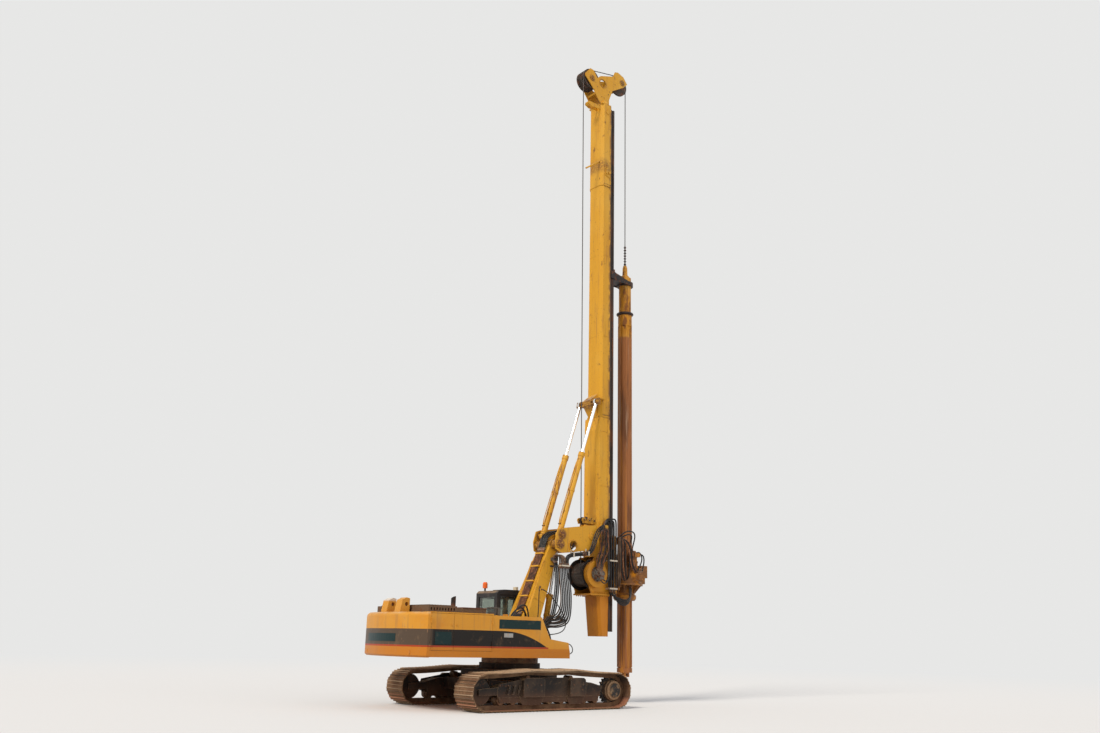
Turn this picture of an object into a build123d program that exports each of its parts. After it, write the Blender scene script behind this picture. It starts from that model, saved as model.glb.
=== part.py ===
"""Drilling rig on a crawler excavator: tracked base, slewing house, boom, cradle, mast and kelly bar.

Millimetres, +X forward (the mast's side), +Y to the left (the cab's side), +Z up.
Places are given from the slewing axis on the ground; write() moves the whole machine
so that the origin lies under the middle of its box.
"""
import os
from math import acos, atan2, cos, degrees, hypot, pi, sin, sqrt

from build123d import *

os.makedirs("parts", exist_ok=True)

# Driving dimensions: tracks
shoe_width = 800
track_gauge = 3240
wheel_base = 4280
track_height = 1010
end_height = 924
shoe_plate = 14
grouser_height = 26
link_half_height = 50
link_pitch_wanted = 216
run_sag = 16
strand_width = 46
strand_offset = 78
tooth_half_width = 36
carrier_x = 700
roller_count = 9
roller_end_gap = 600
roller_radius = 104
frame_half_width = 165
idler_arm = 60
frame_setback = 440
idler_half_width = 48
frame_top = 668
skirt_bottom = 205
guard_top = 796
guard_plate = 12
cover_depth = 130
beam_x = 900
beam_half_length = 210
beam_bottom = 400
beam_top = 700
carbody_reach = 1150
carbody_half = 760
carbody_corner = 450
carbody_bottom = 430
carbody_top = 950
ring_radius = 760
ring_bore = 560
ring_seat = 1110

# Driving dimensions: house
house_half_width = 1500
deck_bottom = 1260
deck_thickness = 150
side_top = 2280
hood_front = -2600
hood_top = 2470
hood_half = 1240
hood_slots = 9
tail_radius = 3900
weight_depth = 410
weight_bevel = 190
weight_round = 105
lug_length = 268
bay_front = -1690
door_split = -2830
slope_top = -114
slope_bottom = 176
step_front = 849
step_top = 1656
sheet = 30
seam = 6
cab_rear = -130
cab_front = 1500
cab_inner = 500
cab_roof = 3020
cab_wall = 50

# Driving dimensions: boom, cradle and cylinders
boom_foot = (240, 1900)
boom_head = (1265, 4339)
boom_foot_half = 430
boom_head_half = 265
boom_rear = 165
boom_front = 262
boom_hoses_across = 6
boom_hose_radius = 22
boom_hose_pitch = 54
clamp_height = 62
pin_radius = 55
lift_foot = (960, 1700)
lift_eye = (1385, 4200)
lift_y = 215
lift_gland = 0.50
raise_foot = (1335, 4607)
raise_eye = (2700, 8725)
raise_y = 370
raise_gland = 0.60
barrel_radius = 86
rod_radius = 48
rod_fit = 0.5
fit = 0.3
hinge_radius = 13
hinge_pin = 6
leaf_length = 32
eye_clearance = 24
eye_pin_radius = 38
plate_inner = 480
plate_outer = 515
cradle_hole = (1745, 4322)
hole_radius = 138
mast_pivot = (2470, 4640)

# Driving dimensions: mast, winch and head
mast_front = 3281
mast_rear_low = 2795
mast_rear_high = 2898
mast_half = 330
mast_low_half = 345
mast_joint = 8300
top_section = 16056
winch_top = 4100
mast_top = 19000
rail_front = 3436
rail_width = 80
rail_bottom = 1990
rail_end_gap = 100
foot_bottom = 1853
winch_flange = 3040
drum_axis = (2710, 3590)
drum_radius = 345
drum_flange = 445
winch_half = 320
winch_back = 385
winch_housing = 120
flange_rear = 2530
flange_ribs = 9
rope_y = -150
mast_bevel = 92
head_rear_x = 2520
head_rear_rise = 840
head_front_rise = 1190
head_half = 200
head_plate = 26
sheave_pitch = 100
sheave_half = 36
rear_sheave_count = 4
rope_radius = 14
rope_gap = 2
sheave_radius = 372
groove_depth = 34
axle_radius = 45
rear_sheave_radius = 342

# Driving dimensions: rotary head and kelly bar
kelly_x = 4233
kelly_radius = 225
kelly_bottom = 850
kelly_collar = 11946
sleeve_radius = 196
kelly_core = 198
kelly_rib = 62
kelly_top = 13190
stub_half = 100
stub_bottom = 723
stub_pin = 35
link_beads = 7
crowd_barrel_radius = 70
crowd_rod_radius = 44
crowd_gland = 9050
crowd_length = 5500
crowd_rod_top = 10350
rotary_bottom = 2908
rotary_reach = 730
gear_top = 3850
motor_back = 90
motor_side = 480
bore_clearance = 12
housing_ribs = 12
carriage_low = 3050
carriage_high = 4750
slide_fit = 0.5
run_clearance = 6
guide_low = 12893
guide_high = 13133
swivel_top = 13649
link_top = 14333

weight_front = weight_depth - tail_radius
shift_x = (tail_radius - (kelly_x + rotary_reach)) / 2
cab_bottom = deck_bottom + deck_thickness + fit
crowd_axis = mast_front + crowd_barrel_radius + 8
hood_axis = (hood_front + hinge_radius, side_top + seam + sheet + hinge_radius)
rope_line = sheave_radius - groove_depth + rope_radius + fit
rear_rope_line = rear_sheave_radius - groove_depth + rope_radius + fit
rail_top = mast_top - rail_end_gap
head_rear_axle = (head_rear_x, mast_top + head_rear_rise)
head_front_axle = (kelly_x - rope_line, mast_top + head_front_rise)


def box(x0, x1, y0, y1, z0, z1):
    """Block between two corners."""
    return Pos((x0 + x1) / 2, (y0 + y1) / 2, (z0 + z1) / 2) * Box(abs(x1 - x0), abs(y1 - y0), abs(z1 - z0))


def slab(points, y0, y1):
    """Side-view outline, points (x, z), given a width from y0 to y1."""
    low, high = min(y0, y1), max(y0, y1)
    wire = Wire.make_polygon([(x, low, z) for x, z in points], close=True)
    return Part() + extrude(Face(wire), amount=high - low, dir=(0, 1, 0))


def plan(points, z0, z1):
    """Plan outline, points (x, y), given a height from z0 to z1."""
    wire = Wire.make_polygon([(x, y, z0) for x, y in points], close=True)
    return Part() + extrude(Face(wire), amount=z1 - z0, dir=(0, 0, 1))


def bar_y(x, z, radius, y0, y1):
    """Round bar along Y."""
    return Pos(x, (y0 + y1) / 2, z) * Rot(90, 0, 0) * Cylinder(radius, abs(y1 - y0))


def bar_z(x, y, radius, z0, z1):
    """Round bar along Z."""
    return Pos(x, y, (z0 + z1) / 2) * Cylinder(radius, abs(z1 - z0))


def tube_between(start, end, radius, y, bore=0):
    """Round bar or tube in a plane of constant y, from one (x, z) point to another."""
    length = hypot(end[0] - start[0], end[1] - start[1])
    lean = degrees(atan2(end[0] - start[0], end[1] - start[1]))
    body = Cylinder(radius, length)
    if bore:
        body -= Cylinder(bore, length)
    return Pos((start[0] + end[0]) / 2, y, (start[1] + end[1]) / 2) * Rot(0, lean, 0) * body


def along(start, end, share):
    """Point at a share of the way from start to end."""
    return tuple(a + (b - a) * share for a, b in zip(start, end))


def hinge_halves(x, face_y, side, toward, heights):
    """Upright hinges on an outer face: the fixed knuckles with their pins, and the moving knuckles.

    toward is the sign along X of the fixed neighbour.
    """
    y = face_y + side * hinge_radius
    fixed, moving = Part(), Part()
    for z in heights:
        for low, high in ((z - 70, z - 30), (z + 30, z + 70)):
            fixed += bar_z(x, y, hinge_radius, low, high)
            fixed += box(x, x + toward * leaf_length, face_y - side * 1, face_y + side * 5, low, high)
        fixed += bar_z(x, y, hinge_pin, z - 70, z + 70)
        leaf = bar_z(x, y, hinge_radius, z - 30 + fit, z + 30 - fit)
        leaf += box(x, x - toward * leaf_length, face_y - side * 1, face_y + side * 5, z - 30 + fit,
                    z + 30 - fit)
        moving += leaf - bar_z(x, y, hinge_pin + fit, z - 40, z + 40)
    return fixed, moving


def both_sides(make):
    """The right-hand and the left-hand copy of a piece made for one side sign."""
    return make(-1) + make(1)


def write(name, shape):
    """Write one node as a STEP file, in the machine's own frame."""
    solids = [Pos(shift_x, 0, 0) * solid for solid in shape.solids()]
    export_step(Compound(children=solids) if len(solids) > 1 else solids[0], f"parts/{name}.step")


# Tracks

end_x = wheel_base / 2
axle_z = end_height / 2
pitch_to_tip = link_half_height + 10 + shoe_plate + grouser_height
pitch_radius = axle_z - pitch_to_tip
carrier_pitch = track_height - pitch_to_tip
rail_inner = pitch_to_tip + link_half_height


def pitch_line():
    """Closed line through the link pins, counter-clockwise in side view, as many short steps."""
    steps = 40
    points = []
    for k in range(steps + 1):
        turn = -pi / 2 + pi * k / steps
        points.append((end_x + pitch_radius * cos(turn), axle_z + pitch_radius * sin(turn)))
    end_pitch = axle_z + pitch_radius
    stops = [(end_x, end_pitch), (carrier_x, carrier_pitch), (-carrier_x, carrier_pitch),
             (-end_x, end_pitch)]
    for start, stop in zip(stops, stops[1:]):
        for k in range(1, 13):
            share = k / 12
            x, z = along(start, stop, share)
            points.append((x, z - run_sag * 4 * share * (1 - share)))
    for k in range(1, steps + 1):
        turn = pi / 2 + pi * k / steps
        points.append((-end_x + pitch_radius * cos(turn), axle_z + pitch_radius * sin(turn)))
    return points


def link_pins():
    """Pin places, evenly spaced along the pitch line."""
    line = pitch_line()
    line.append(line[0])
    reach = [0.0]
    for a, b in zip(line, line[1:]):
        reach.append(reach[-1] + hypot(b[0] - a[0], b[1] - a[1]))
    count = round(reach[-1] / link_pitch_wanted)
    pins = []
    k = 0
    for i in range(count):
        want = reach[-1] * i / count
        while reach[k + 1] < want:
            k += 1
        share = (want - reach[k]) / (reach[k + 1] - reach[k])
        pins.append(along(line[k], line[k + 1], share))
    return pins


def offset_pins(pins, distance):
    """Pin outline moved outward by a distance."""
    moved = []
    for i, (x, z) in enumerate(pins):
        before, after = pins[i - 1], pins[(i + 1) % len(pins)]
        dx, dz = after[0] - before[0], after[1] - before[1]
        length = hypot(dx, dz)
        moved.append((x + distance * dz / length, z - distance * dx / length))
    return moved


def shoe_outline(pins):
    """Outer outline of the shoes: on each link a plate with three grousers."""
    plate = link_half_height + 10 + shoe_plate
    tip = plate + grouser_height
    # columns: place along the link as a share of its length, height over the pitch line
    template = [(-0.48, plate), (-0.46, tip), (-0.37, plate), (-0.05, plate), (0.0, tip),
                (0.05, plate), (0.37, plate), (0.46, tip), (0.48, plate)]
    outline = []
    for i, (x, z) in enumerate(pins):
        nx, nz = pins[(i + 1) % len(pins)]
        dx, dz = nx - x, nz - z
        length = hypot(dx, dz)
        for place, height in template:
            share = place + 0.5
            outline.append((x + dx * share + height * dz / length, z + dz * share - height * dx / length))
    return outline


def track(side):
    """One closed track: a belt of shoes on two strands of chain."""
    pins = link_pins()
    middle = side * track_gauge / 2
    belt = slab(shoe_outline(pins), middle - shoe_width / 2, middle + shoe_width / 2)
    belt -= slab(offset_pins(pins, link_half_height + 8), middle - shoe_width / 2 - 1,
                 middle + shoe_width / 2 + 1)
    outer = offset_pins(pins, link_half_height + 9)
    inner = offset_pins(pins, -link_half_height)
    for offset in (-strand_offset, strand_offset):
        low = middle + offset - strand_width / 2
        strand = slab(outer, low, low + strand_width) - slab(inner, low - 1, low + strand_width + 1)
        belt += strand
    return belt


def track_frame(side):
    """Box beam inside the loop, with roller skirts, idler arms, side guards and the drive bracket."""
    middle = side * track_gauge / 2
    w = frame_half_width
    under = rail_inner + 2 * roller_radius + 30
    rear, front = frame_setback - end_x, end_x - frame_setback
    outline = [(rear, under), (front - 60, under), (front, under + 60), (front, axle_z + 120),
               (front - 360, frame_top),
               (rear + 360, frame_top), (rear, axle_z + 110)]
    frame = slab(outline, middle - w, middle + w)
    skirt = [(rear + 60, under + 5), (rear + 100, skirt_bottom), (front - 100, skirt_bottom),
             (front - 60, under + 5)]
    for edge in (-w, w - 22):
        frame += slab(skirt, middle + edge, middle + edge + 22)
    arm = [(rear + 10, axle_z - 74), (rear + 10, axle_z + 100), (-end_x + 60, axle_z + 84),
           (-end_x - 90, axle_z + 60),
           (-end_x - 90, axle_z - 74)]
    for edge in (-w, w - idler_arm):
        frame += slab(arm, middle + edge, middle + edge + idler_arm)
    outer = side * frame_half_width
    near, far = middle - outer, middle - side * (tooth_half_width + 30)
    frame += box(front - 10, end_x, near, far, axle_z - 160, axle_z + 120) + bar_y(end_x, axle_z, 215, near,
                                                                                   far)
    return frame + side_guards(side, middle + outer, rear, front)


def side_guards(side, face, rear, front):
    """Plates and box covers on the outer face of a track frame, and shields over the rollers."""
    panel = [(rear + 20, skirt_bottom + 130), (front - 40, skirt_bottom + 130), (front - 40, axle_z + 116),
             (carrier_x + 250, guard_top - 60), (carrier_x, guard_top), (-carrier_x, guard_top),
             (rear + 60, axle_z + 180),
             (rear + 20, axle_z + 60)]
    guards = slab(panel, face - side * 1, face + side * guard_plate)
    for x, length in ((-beam_x + 270, 330), (beam_x - 90, 255)):
        cover = [(x - length, beam_bottom - 60), (x + length, beam_bottom - 60),
                 (x + length, beam_top + 40),
                 (x + length - 60, guard_top - 8), (x - length + 60, guard_top - 8),
                 (x - length, beam_top + 40)]
        guards += slab(cover, face, face + side * cover_depth)
        shield = [(x - length - 60, skirt_bottom + 140), (x - length + 40, skirt_bottom - 60),
                  (x + length - 40, skirt_bottom - 60),
                  (x + length + 60, skirt_bottom + 140)]
        guards += slab(shield, face - side * 1, face + side * 24)
    for share in (0.2, 0.5, 0.8):
        x = rear + 180 + share * 520
        guards += slab([(x, axle_z - 60), (x + 46, axle_z - 60), (x + 106, axle_z + 150),
                        (x + 60, axle_z + 150)],
                       face, face + side * 60)
    return guards


def carbody():
    """Centre frame between the tracks, with two cross beams and the slewing ring's seat."""
    inner = track_gauge / 2 - frame_half_width
    reach, half = carbody_reach, carbody_half
    flat, end = reach - carbody_corner, half - 140
    body = plan([(-reach, -end), (-flat, -half), (flat, -half), (reach, -end),
                 (reach, end), (flat, half), (-flat, half), (-reach, end)], carbody_bottom, carbody_top)
    for x in (-beam_x, beam_x):
        body += box(x - beam_half_length, x + beam_half_length, -inner + 0.3, inner - 0.3, beam_bottom,
                    beam_top)
    body += bar_z(0, 0, ring_radius + 60, carbody_top - 10, ring_seat)
    return body


def wheel_y(x, z, y, profile):
    """Turned wheel on an axis along Y. Profile rows: place along the axis, radius."""
    points = [(0, profile[0][0])] + [(r, a) for a, r in profile] + [(0, profile[-1][0])]
    face = make_face(Polyline(*[(r, 0, a) for r, a in points], close=True))
    return Pos(x, y, z) * Rot(90, 0, 0) * revolve(face, Axis.Z)


def bottom_rollers(side):
    """Row of flanged rollers that the frame stands on."""
    middle = side * track_gauge / 2
    z = rail_inner + roller_radius + 0.3
    half = frame_half_width - 22.3
    rows = [(-half, 38), (-118, 38), (-118, roller_radius), (-42, roller_radius), (-42, roller_radius + 14),
            (42, roller_radius + 14), (42, roller_radius), (118, roller_radius), (118, 38), (half, 38)]
    rollers = Part()
    for i in range(roller_count):
        x = (i / (roller_count - 1) - 0.5) * (wheel_base - 2 * roller_end_gap)
        rollers += wheel_y(x, z, middle, rows)
    return rollers


def carrier_rollers(side):
    """Two small rollers on brackets that hold up the top run."""
    middle = side * track_gauge / 2
    radius = 78
    z = carrier_pitch - link_half_height - radius - run_sag
    rollers = Part()
    for x in (-carrier_x, carrier_x):
        rollers += bar_y(x, z, radius, middle - 110, middle + 110)
        rollers += box(x - 45, x + 45, middle - 125, middle - 108, frame_top + fit, z + 60)
        rollers += box(x - 45, x + 45, middle + 108, middle + 125, frame_top + fit, z + 60)
    return rollers


def idler(side):
    """Plain front wheel of the loop, at the tail end, on its axle."""
    middle = side * track_gauge / 2
    tread = (pitch_radius - link_half_height) * cos(link_pitch_wanted / 2 / pitch_radius) - 2
    hub = frame_half_width - idler_arm - fit
    rows = [(-hub, 70), (-98, tread - 60), (-98, tread), (-idler_half_width, tread),
            (-idler_half_width, tread + 24), (idler_half_width, tread + 24), (idler_half_width, tread),
            (98, tread), (98, tread - 60), (hub, 70)]
    return wheel_y(-end_x, axle_z, middle, rows)


def sprocket(side):
    """Toothed drive wheel and the hub of its final drive, at the mast's end."""
    middle = side * track_gauge / 2
    teeth = round(2 * pi * pitch_radius / link_pitch_wanted) * 2
    root, tip = pitch_radius - 36, pitch_radius + 16
    outline = []
    for i in range(teeth):
        for place, radius in ((-0.36, root), (-0.14, tip), (0.14, tip), (0.36, root)):
            turn = 2 * pi * (i + place) / teeth
            outline.append((end_x + radius * cos(turn), axle_z + radius * sin(turn)))
    wheel = slab(outline, middle - tooth_half_width, middle + tooth_half_width)
    rows = [(0, 262), (120, 262), (135, 240), (205, 240), (215, 190), (250, 178), (256, 120), (256, 1)]
    hub = wheel_y(0, 0, 0, rows)
    wheel += Pos(end_x, middle, axle_z) * (hub if side < 0 else Rot(0, 0, 180) * hub)
    wheel += bar_y(end_x, axle_z, 200, middle, middle - side * (tooth_half_width + 30 - fit))
    return wheel


# House

def slewing_ring():
    """Bearing ring between the carbody and the house."""
    ring = bar_z(0, 0, ring_radius, ring_seat + fit, deck_bottom - fit)
    return ring - bar_z(0, 0, ring_bore, ring_seat - 10, deck_bottom)


def deck():
    """Main frame plate with the boom's foot brackets and the lift cylinders' lugs."""
    w = house_half_width
    top = deck_bottom + deck_thickness
    plate = plan([(weight_front + fit, -w), (step_front, -w), (step_front, -560), (1060, -520), (1060, 420),
                  (cab_front, 480), (cab_front, w), (weight_front + fit, w)], deck_bottom, top)
    x, z = boom_foot
    cheek = [(x - 420, top - 2), (x + 420, top - 2), (x + 150, z + 120), (x - 120, z + 150)]
    for side in (-1, 1):
        inner = side * (boom_foot_half + 4)
        plate += slab(cheek, inner, inner + side * 26)
        plate += bar_y(x, z, 120, inner, inner + side * 40)
    fx, fz = lift_foot
    lug = [(fx - 190, top - 2), (fx + 95, top - 2), (fx + 75, fz + 40), (fx - 20, fz + 85),
           (fx - 80, fz + 50)]
    for centre in (-lift_y, lift_y):
        for side in (-1, 1):
            inner = centre + side * (barrel_radius + run_clearance)
            plate += slab(lug, inner, inner + side * 30)
        plate += bar_y(fx, fz, pin_radius, centre - barrel_radius - 40, centre + barrel_radius + 40)
    plate += bar_y(x, z, pin_radius, -boom_foot_half - 44, boom_foot_half + 44)
    return plate


def counterweight():
    """Cast weight at the tail, on the tail's arc, with bevelled corners and a rounded top edge."""
    half = house_half_width
    shoulder = (20 - sqrt(tail_radius ** 2 - half ** 2), half)
    end = (-sqrt(tail_radius ** 2 - (half - weight_bevel) ** 2), half - weight_bevel)
    right = Polyline((weight_front, -half), (shoulder[0], -half), (end[0], -end[1]))
    left = Polyline(end, shoulder, (weight_front, half))
    front = Line((weight_front, half), (weight_front, -half))
    face = make_face([*right.edges(), ThreePointArc((end[0], -end[1]), (-tail_radius, 0), end),
                      *left.edges(), front])
    low, high = deck_bottom - 10, side_top + 30
    body = Pos(0, 0, low) * extrude(face, amount=high - low)
    rear_edges = [edge for edge in body.edges() if edge.center().X < weight_front - 1]
    body = fillet([edge for edge in rear_edges if edge.center().Z > high - 1], weight_round)
    rear_edges = [edge for edge in body.edges() if edge.center().X < weight_front - 1]
    body = chamfer([edge for edge in rear_edges if edge.center().Z < low + 1], weight_round * 0.4)
    return body + door_hinges(-1, 0)


def lifting_lugs():
    """Two cast lugs on the counterweight, with a cross hole each."""
    lugs = Part()
    base = side_top + 29
    rear, front = weight_front - lug_length - 12, weight_front - 12
    for y in (-340, 320):
        lug = slab([(rear, base), (front, base), (front, base + 330), (rear + 180, base + 350),
                    (rear + 60, base + 290)],
                   y - 140, y + 140)
        lugs += lug - bar_y(rear + 180, base + 190, 48, y - 150, y + 150)
    return lugs


left_split = -2500
door_low, door_high = deck_bottom + deck_thickness + seam, side_top
hinge_heights = (door_low + 160, door_high - 160)
# columns: node name, rear end x, front end x, side sign, sign along X of the hinged end
service_doors = [("right_rear_door", weight_front + seam, door_split - seam, -1, -1),
                 ("right_front_door", door_split, bay_front, -1, 1),
                 ("left_rear_door", weight_front + seam, left_split - seam, 1, -1),
                 ("left_front_door", left_split, bay_front, 1, 1)]


def door_hinges(hinged_end, part):
    """Hinge halves of the doors hung at one end of the bay: part 0 is fixed, 1 moves."""
    pieces = Part()
    for _, x0, x1, side, toward in service_doors:
        if toward == hinged_end:
            x = (x0 if toward < 0 else x1) + toward * seam / 2
            pieces += hinge_halves(x, side * house_half_width, side, toward, hinge_heights)[part]
    return pieces


def service_door(x0, x1, side, toward):
    """Pressed sheet door with a returned edge and its hinge knuckles."""
    y = side * house_half_width
    z0, z1 = door_low, door_high
    door = box(x0, x1, y, y - side * sheet, z0, z1)
    rim = box(x0 + 30, x1 - 30, y - side * sheet * 0.9, y - side * sheet * 2, z0 + 30, z1 - 60)
    rim -= box(x0 + 70, x1 - 70, y, y - side * sheet * 3, z0 + 70, z1 - 100)
    x = (x0 if toward < 0 else x1) + toward * seam / 2
    return door + rim + hinge_halves(x, y, side, toward, hinge_heights)[1]


def bay_walls():
    """Sheet walls of the engine bay: bulkhead, fixed top with the hood's opening, door posts."""
    w = house_half_width
    floor = deck_bottom + deck_thickness + fit
    top0, top1 = side_top + seam, side_top + seam + sheet
    x1 = bay_front + seam + sheet
    walls = box(bay_front + seam, x1, -w, w, floor, top1)
    top = box(weight_front + fit, x1, -w, w, top0, top1)
    top -= box(weight_front + 120, hood_front - 60, -hood_half + 60, hood_half - 60, top0 - 1, top1 + 1)
    walls += top
    for x, side in ((door_split - seam / 2, -1), (left_split - seam / 2, 1)):
        walls += box(x - 25, x + 25, side * (w - 62), side * (w - 110), floor, top0 + 1)
    walls += door_hinges(1, 0)
    for y in (-hood_half / 2, hood_half / 2):
        walls += hood_hinge(y)[0]
    return walls


def hood_hinge(y):
    """Hinge in front of the hood: the fixed knuckles with their pin, and the moving knuckle."""
    x, z = hood_axis
    top = side_top + seam + sheet
    fixed, moving = Part(), Part()
    for low, high in ((y - 70, y - 30), (y + 30, y + 70)):
        fixed += bar_y(x, z, hinge_radius, low, high) + box(x, x + 55, low, high, top - 1, top + 5)
    fixed += bar_y(x, z, hinge_pin, y - 70, y + 70)
    moving += bar_y(x, z, hinge_radius, y - 30 + fit, y + 30 - fit)
    moving += box(x - hinge_radius - 1, x - hinge_radius + 5, y - 30 + fit, y + 30 - fit, z, z + 60)
    moving -= bar_y(x, z, hinge_pin + fit, y - 40, y + 40)
    return fixed, moving


def engine():
    """Engine and pumps as one plain block."""
    return box(weight_front + 370, bay_front - 260, -760, 700, deck_bottom + deck_thickness + 0.3, 2140)


def hood():
    """Raised engine hood: a shell open below, with slots in its sides, slats on top and its knuckles."""
    x0, x1 = weight_front + 60, hood_front
    z0, z1 = side_top + seam + sheet + 4, hood_top
    shell = box(x0, x1, -hood_half, hood_half, z0, z1)
    shell -= box(x0 + sheet, x1 - sheet, -hood_half + sheet, hood_half - sheet, z0 - 1, z1 - sheet)
    for i in range(hood_slots):
        x = x0 + (x1 - x0) * (i + 1) / (hood_slots + 1)
        shell -= box(x - 18, x + 18, -hood_half - 1, hood_half + 1, z0 + 40, z1 - 50)
        shell += box(x - 12, x + 12, -hood_half + 80, hood_half - 80, z1 - 1, z1 + 22)
    for y in (-hood_half / 2, hood_half / 2):
        shell += hood_hinge(y)[1]
    return shell


def exhaust():
    """Exhaust stub with a flared foot and a cut end."""
    base = side_top + seam + sheet + 0.3
    x, y = bay_front - 440, -350
    pipe = bar_z(x, y, 62, base, 2800) - bar_z(x, y, 52, base + 40, 2900)
    pipe -= Pos(x, y, 2810) * Rot(0, -28, 0) * Box(400, 300, 150)
    foot = Pos(x, y, base + 60) * Cone(130, 66, 120)
    return pipe + (foot - bar_z(x, y, 52, base + 40, 2900))


def tank():
    """Fuel tank and its front slope on the right, closed."""
    floor = deck_bottom + deck_thickness + 0.3
    rear = bay_front + seam + sheet + fit
    outline = [(rear, floor), (slope_bottom, floor), (slope_bottom, 1739), (slope_top, side_top),
               (rear, side_top)]
    return slab(outline, -house_half_width, -house_half_width + 760)


def step_box():
    """Low tool box in front of the tank, used as a step."""
    floor = deck_bottom + deck_thickness + 0.3
    outline = [(slope_bottom + 0.3, floor), (step_front, floor), (step_front - 50, step_top),
               (slope_bottom + 0.3, 1739)]
    return slab(outline, -house_half_width, -house_half_width + 760)


def left_box():
    """Closed box behind the cab for filters and batteries."""
    floor = deck_bottom + deck_thickness + 0.3
    return box(bay_front + seam + sheet + fit, cab_rear - 20, 700, house_half_width, floor, side_top)


def handrails():
    """Raised walkway of plate on posts over the tank, with a bent rail beside it."""
    rails = Part()
    base, top = side_top + 0.3, side_top + 400
    outer, inner = -house_half_width + 110, -house_half_width + 640
    stations_x = (bay_front + 130, bay_front + 680, bay_front + 1230)
    for x in stations_x:
        rails += bar_z(x, outer, 17, base, top if x == stations_x[1] else top - 60)
        for y in (outer + 60, inner):
            rails += box(x - 25, x + 25, y - 25, y + 25, base, base + 110)
    deck_plate = box(stations_x[0] - 60, stations_x[-1] + 60, outer - 30, inner + 40, base + 109,
                     base + 122)
    for i in range(9):
        x = stations_x[0] - 20 + i * 148
        deck_plate -= box(x, x + 70, outer + 110, inner - 60, base + 100, base + 130)
    rails += deck_plate
    rails += Pos(0, outer, top - 60) * rounded_bar(stations_x[0], stations_x[-1], 17, 60)
    return rails


def rounded_bar(x0, x1, radius, rise):
    """Rail along X from one post top to another, its ends turned up from the posts by quarter bends."""
    path = FilletPolyline((x0, 0, -1), (x0, 0, rise), (x1, 0, rise), (x1, 0, -1), radius=rise * 0.9)
    return Part() + sweep(Plane((x0, 0, -1), z_dir=(0, 0, 1)) * Circle(radius), path=path)


cab_hinge_x = cab_rear + 110 + run_clearance / 2
cab_hinge_heights = (cab_bottom + 300, cab_roof - 420)


def cab_outline(inset):
    """Side outline of the cab's outside, or of its inside when set in by the wall."""
    x0, x1, z0, z1 = cab_rear + inset, cab_front - inset, cab_bottom + inset, cab_roof - inset
    return [(x0, z0), (x1, z0), (x1, z0 + 500), (x1 - 130, z1 - 190), (x1 - 190, z1 - 70), (x1 - 300, z1),
            (x0 + 70, z1),
            (x0, z1 - 70)]


def cab_shell():
    """Hollow cab with window and door openings, drip rails and a roof hatch."""
    x0, x1, y0, y1, z0, z1 = cab_rear, cab_front, cab_inner, house_half_width, cab_bottom, cab_roof
    t = cab_wall
    shell = slab(cab_outline(0), y0, y1) - slab(cab_outline(t), y0 + t, y1 - t)
    # columns: x0, x1, y0, y1, z0, z1 of each opening
    openings = [(x0 - 5, x0 + t + 5, y0 + 130, y1 - 130, z0 + 880, z1 - 170),
                (x1 - 420, x1 + 5, y0 + 90, y1 - 90, z0 + 560, z1 - 230),
                (x0 + 130, x1 - 330, y0 - 5, y0 + t + 5, z0 + 800, z1 - 170),
                (x0 + 110, x0 + 1010, y1 - t - 5, y1 + 5, z0 + 60, z1 - 120),
                (x0 + 1090, x1 - 330, y1 - t - 5, y1 + 5, z0 + 560, z1 - 190)]
    for opening in openings:
        shell -= box(*opening)
    shell += box(x0 + 420, x1 - 460, y0 + 210, y1 - 210, z1 - 1, z1 + 45)
    shell += box(x1 - 330, x1 - 90, y0 + 60, y1 - 60, z1 - 62, z1 - 40)
    for y in (y0, y1):
        outward = 1 if y == y1 else -1
        shell += box(x0 + 80, x1 - 330, y, y + outward * 22, z1 - 105, z1 - 85)
    return shell + hinge_halves(cab_hinge_x, y1, 1, -1, cab_hinge_heights)[0]


def cab_glass():
    """Panes of the fixed windows."""
    x0, y0, y1, z0, z1 = cab_rear, cab_inner, house_half_width, cab_bottom, cab_roof
    middle = cab_wall / 2
    panes = box(x0 + middle - 3, x0 + middle + 3, y0 + 130.3, y1 - 130.3, z0 + 880.3, z1 - 170.3)
    panes += box(x0 + 130.3, cab_front - 330.3, y0 + middle - 3, y0 + middle + 3, z0 + 800.3, z1 - 170.3)
    panes += box(x0 + 1090.3, cab_front - 330.3, y1 - middle - 3, y1 - middle + 3, z0 + 560.3, z1 - 190.3)
    return panes


def cab_door():
    """Door frame with its pane, a shade smaller than its opening."""
    x0, x1 = cab_rear + 110 + run_clearance, cab_rear + 1010 - run_clearance
    z0, z1 = cab_bottom + 60 + run_clearance, cab_roof - 120 - run_clearance
    y1 = house_half_width
    door = box(x0, x1, y1 - cab_wall, y1, z0, z1)
    door -= box(x0 + 70, x1 - 70, y1 - cab_wall - 1, y1 + 1, z0 + 620, z1 - 70)
    return door + hinge_halves(cab_hinge_x, y1, 1, -1, cab_hinge_heights)[1]


def door_glass():
    """Pane of the cab door."""
    x0, x1 = cab_rear + 110 + run_clearance, cab_rear + 1010 - run_clearance
    z0, z1 = cab_bottom + 60 + run_clearance, cab_roof - 120 - run_clearance
    y = house_half_width - cab_wall / 2
    return box(x0 + 70.3, x1 - 70.3, y - 3, y + 3, z0 + 620.3, z1 - 70.3)


def seat():
    """Operator's seat on its base."""
    x, y, z = cab_rear + 480, (cab_inner + house_half_width) / 2, cab_bottom + cab_wall + 0.3
    body = box(x - 200, x + 200, y - 180, y + 180, z, z + 360)
    body += box(x - 250, x + 260, y - 250, y + 250, z + 350, z + 480)
    body += slab([(x - 250, z + 470), (x - 120, z + 470), (x - 200, z + 1120), (x - 300, z + 1120)],
                 y - 230, y + 230)
    return body


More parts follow.
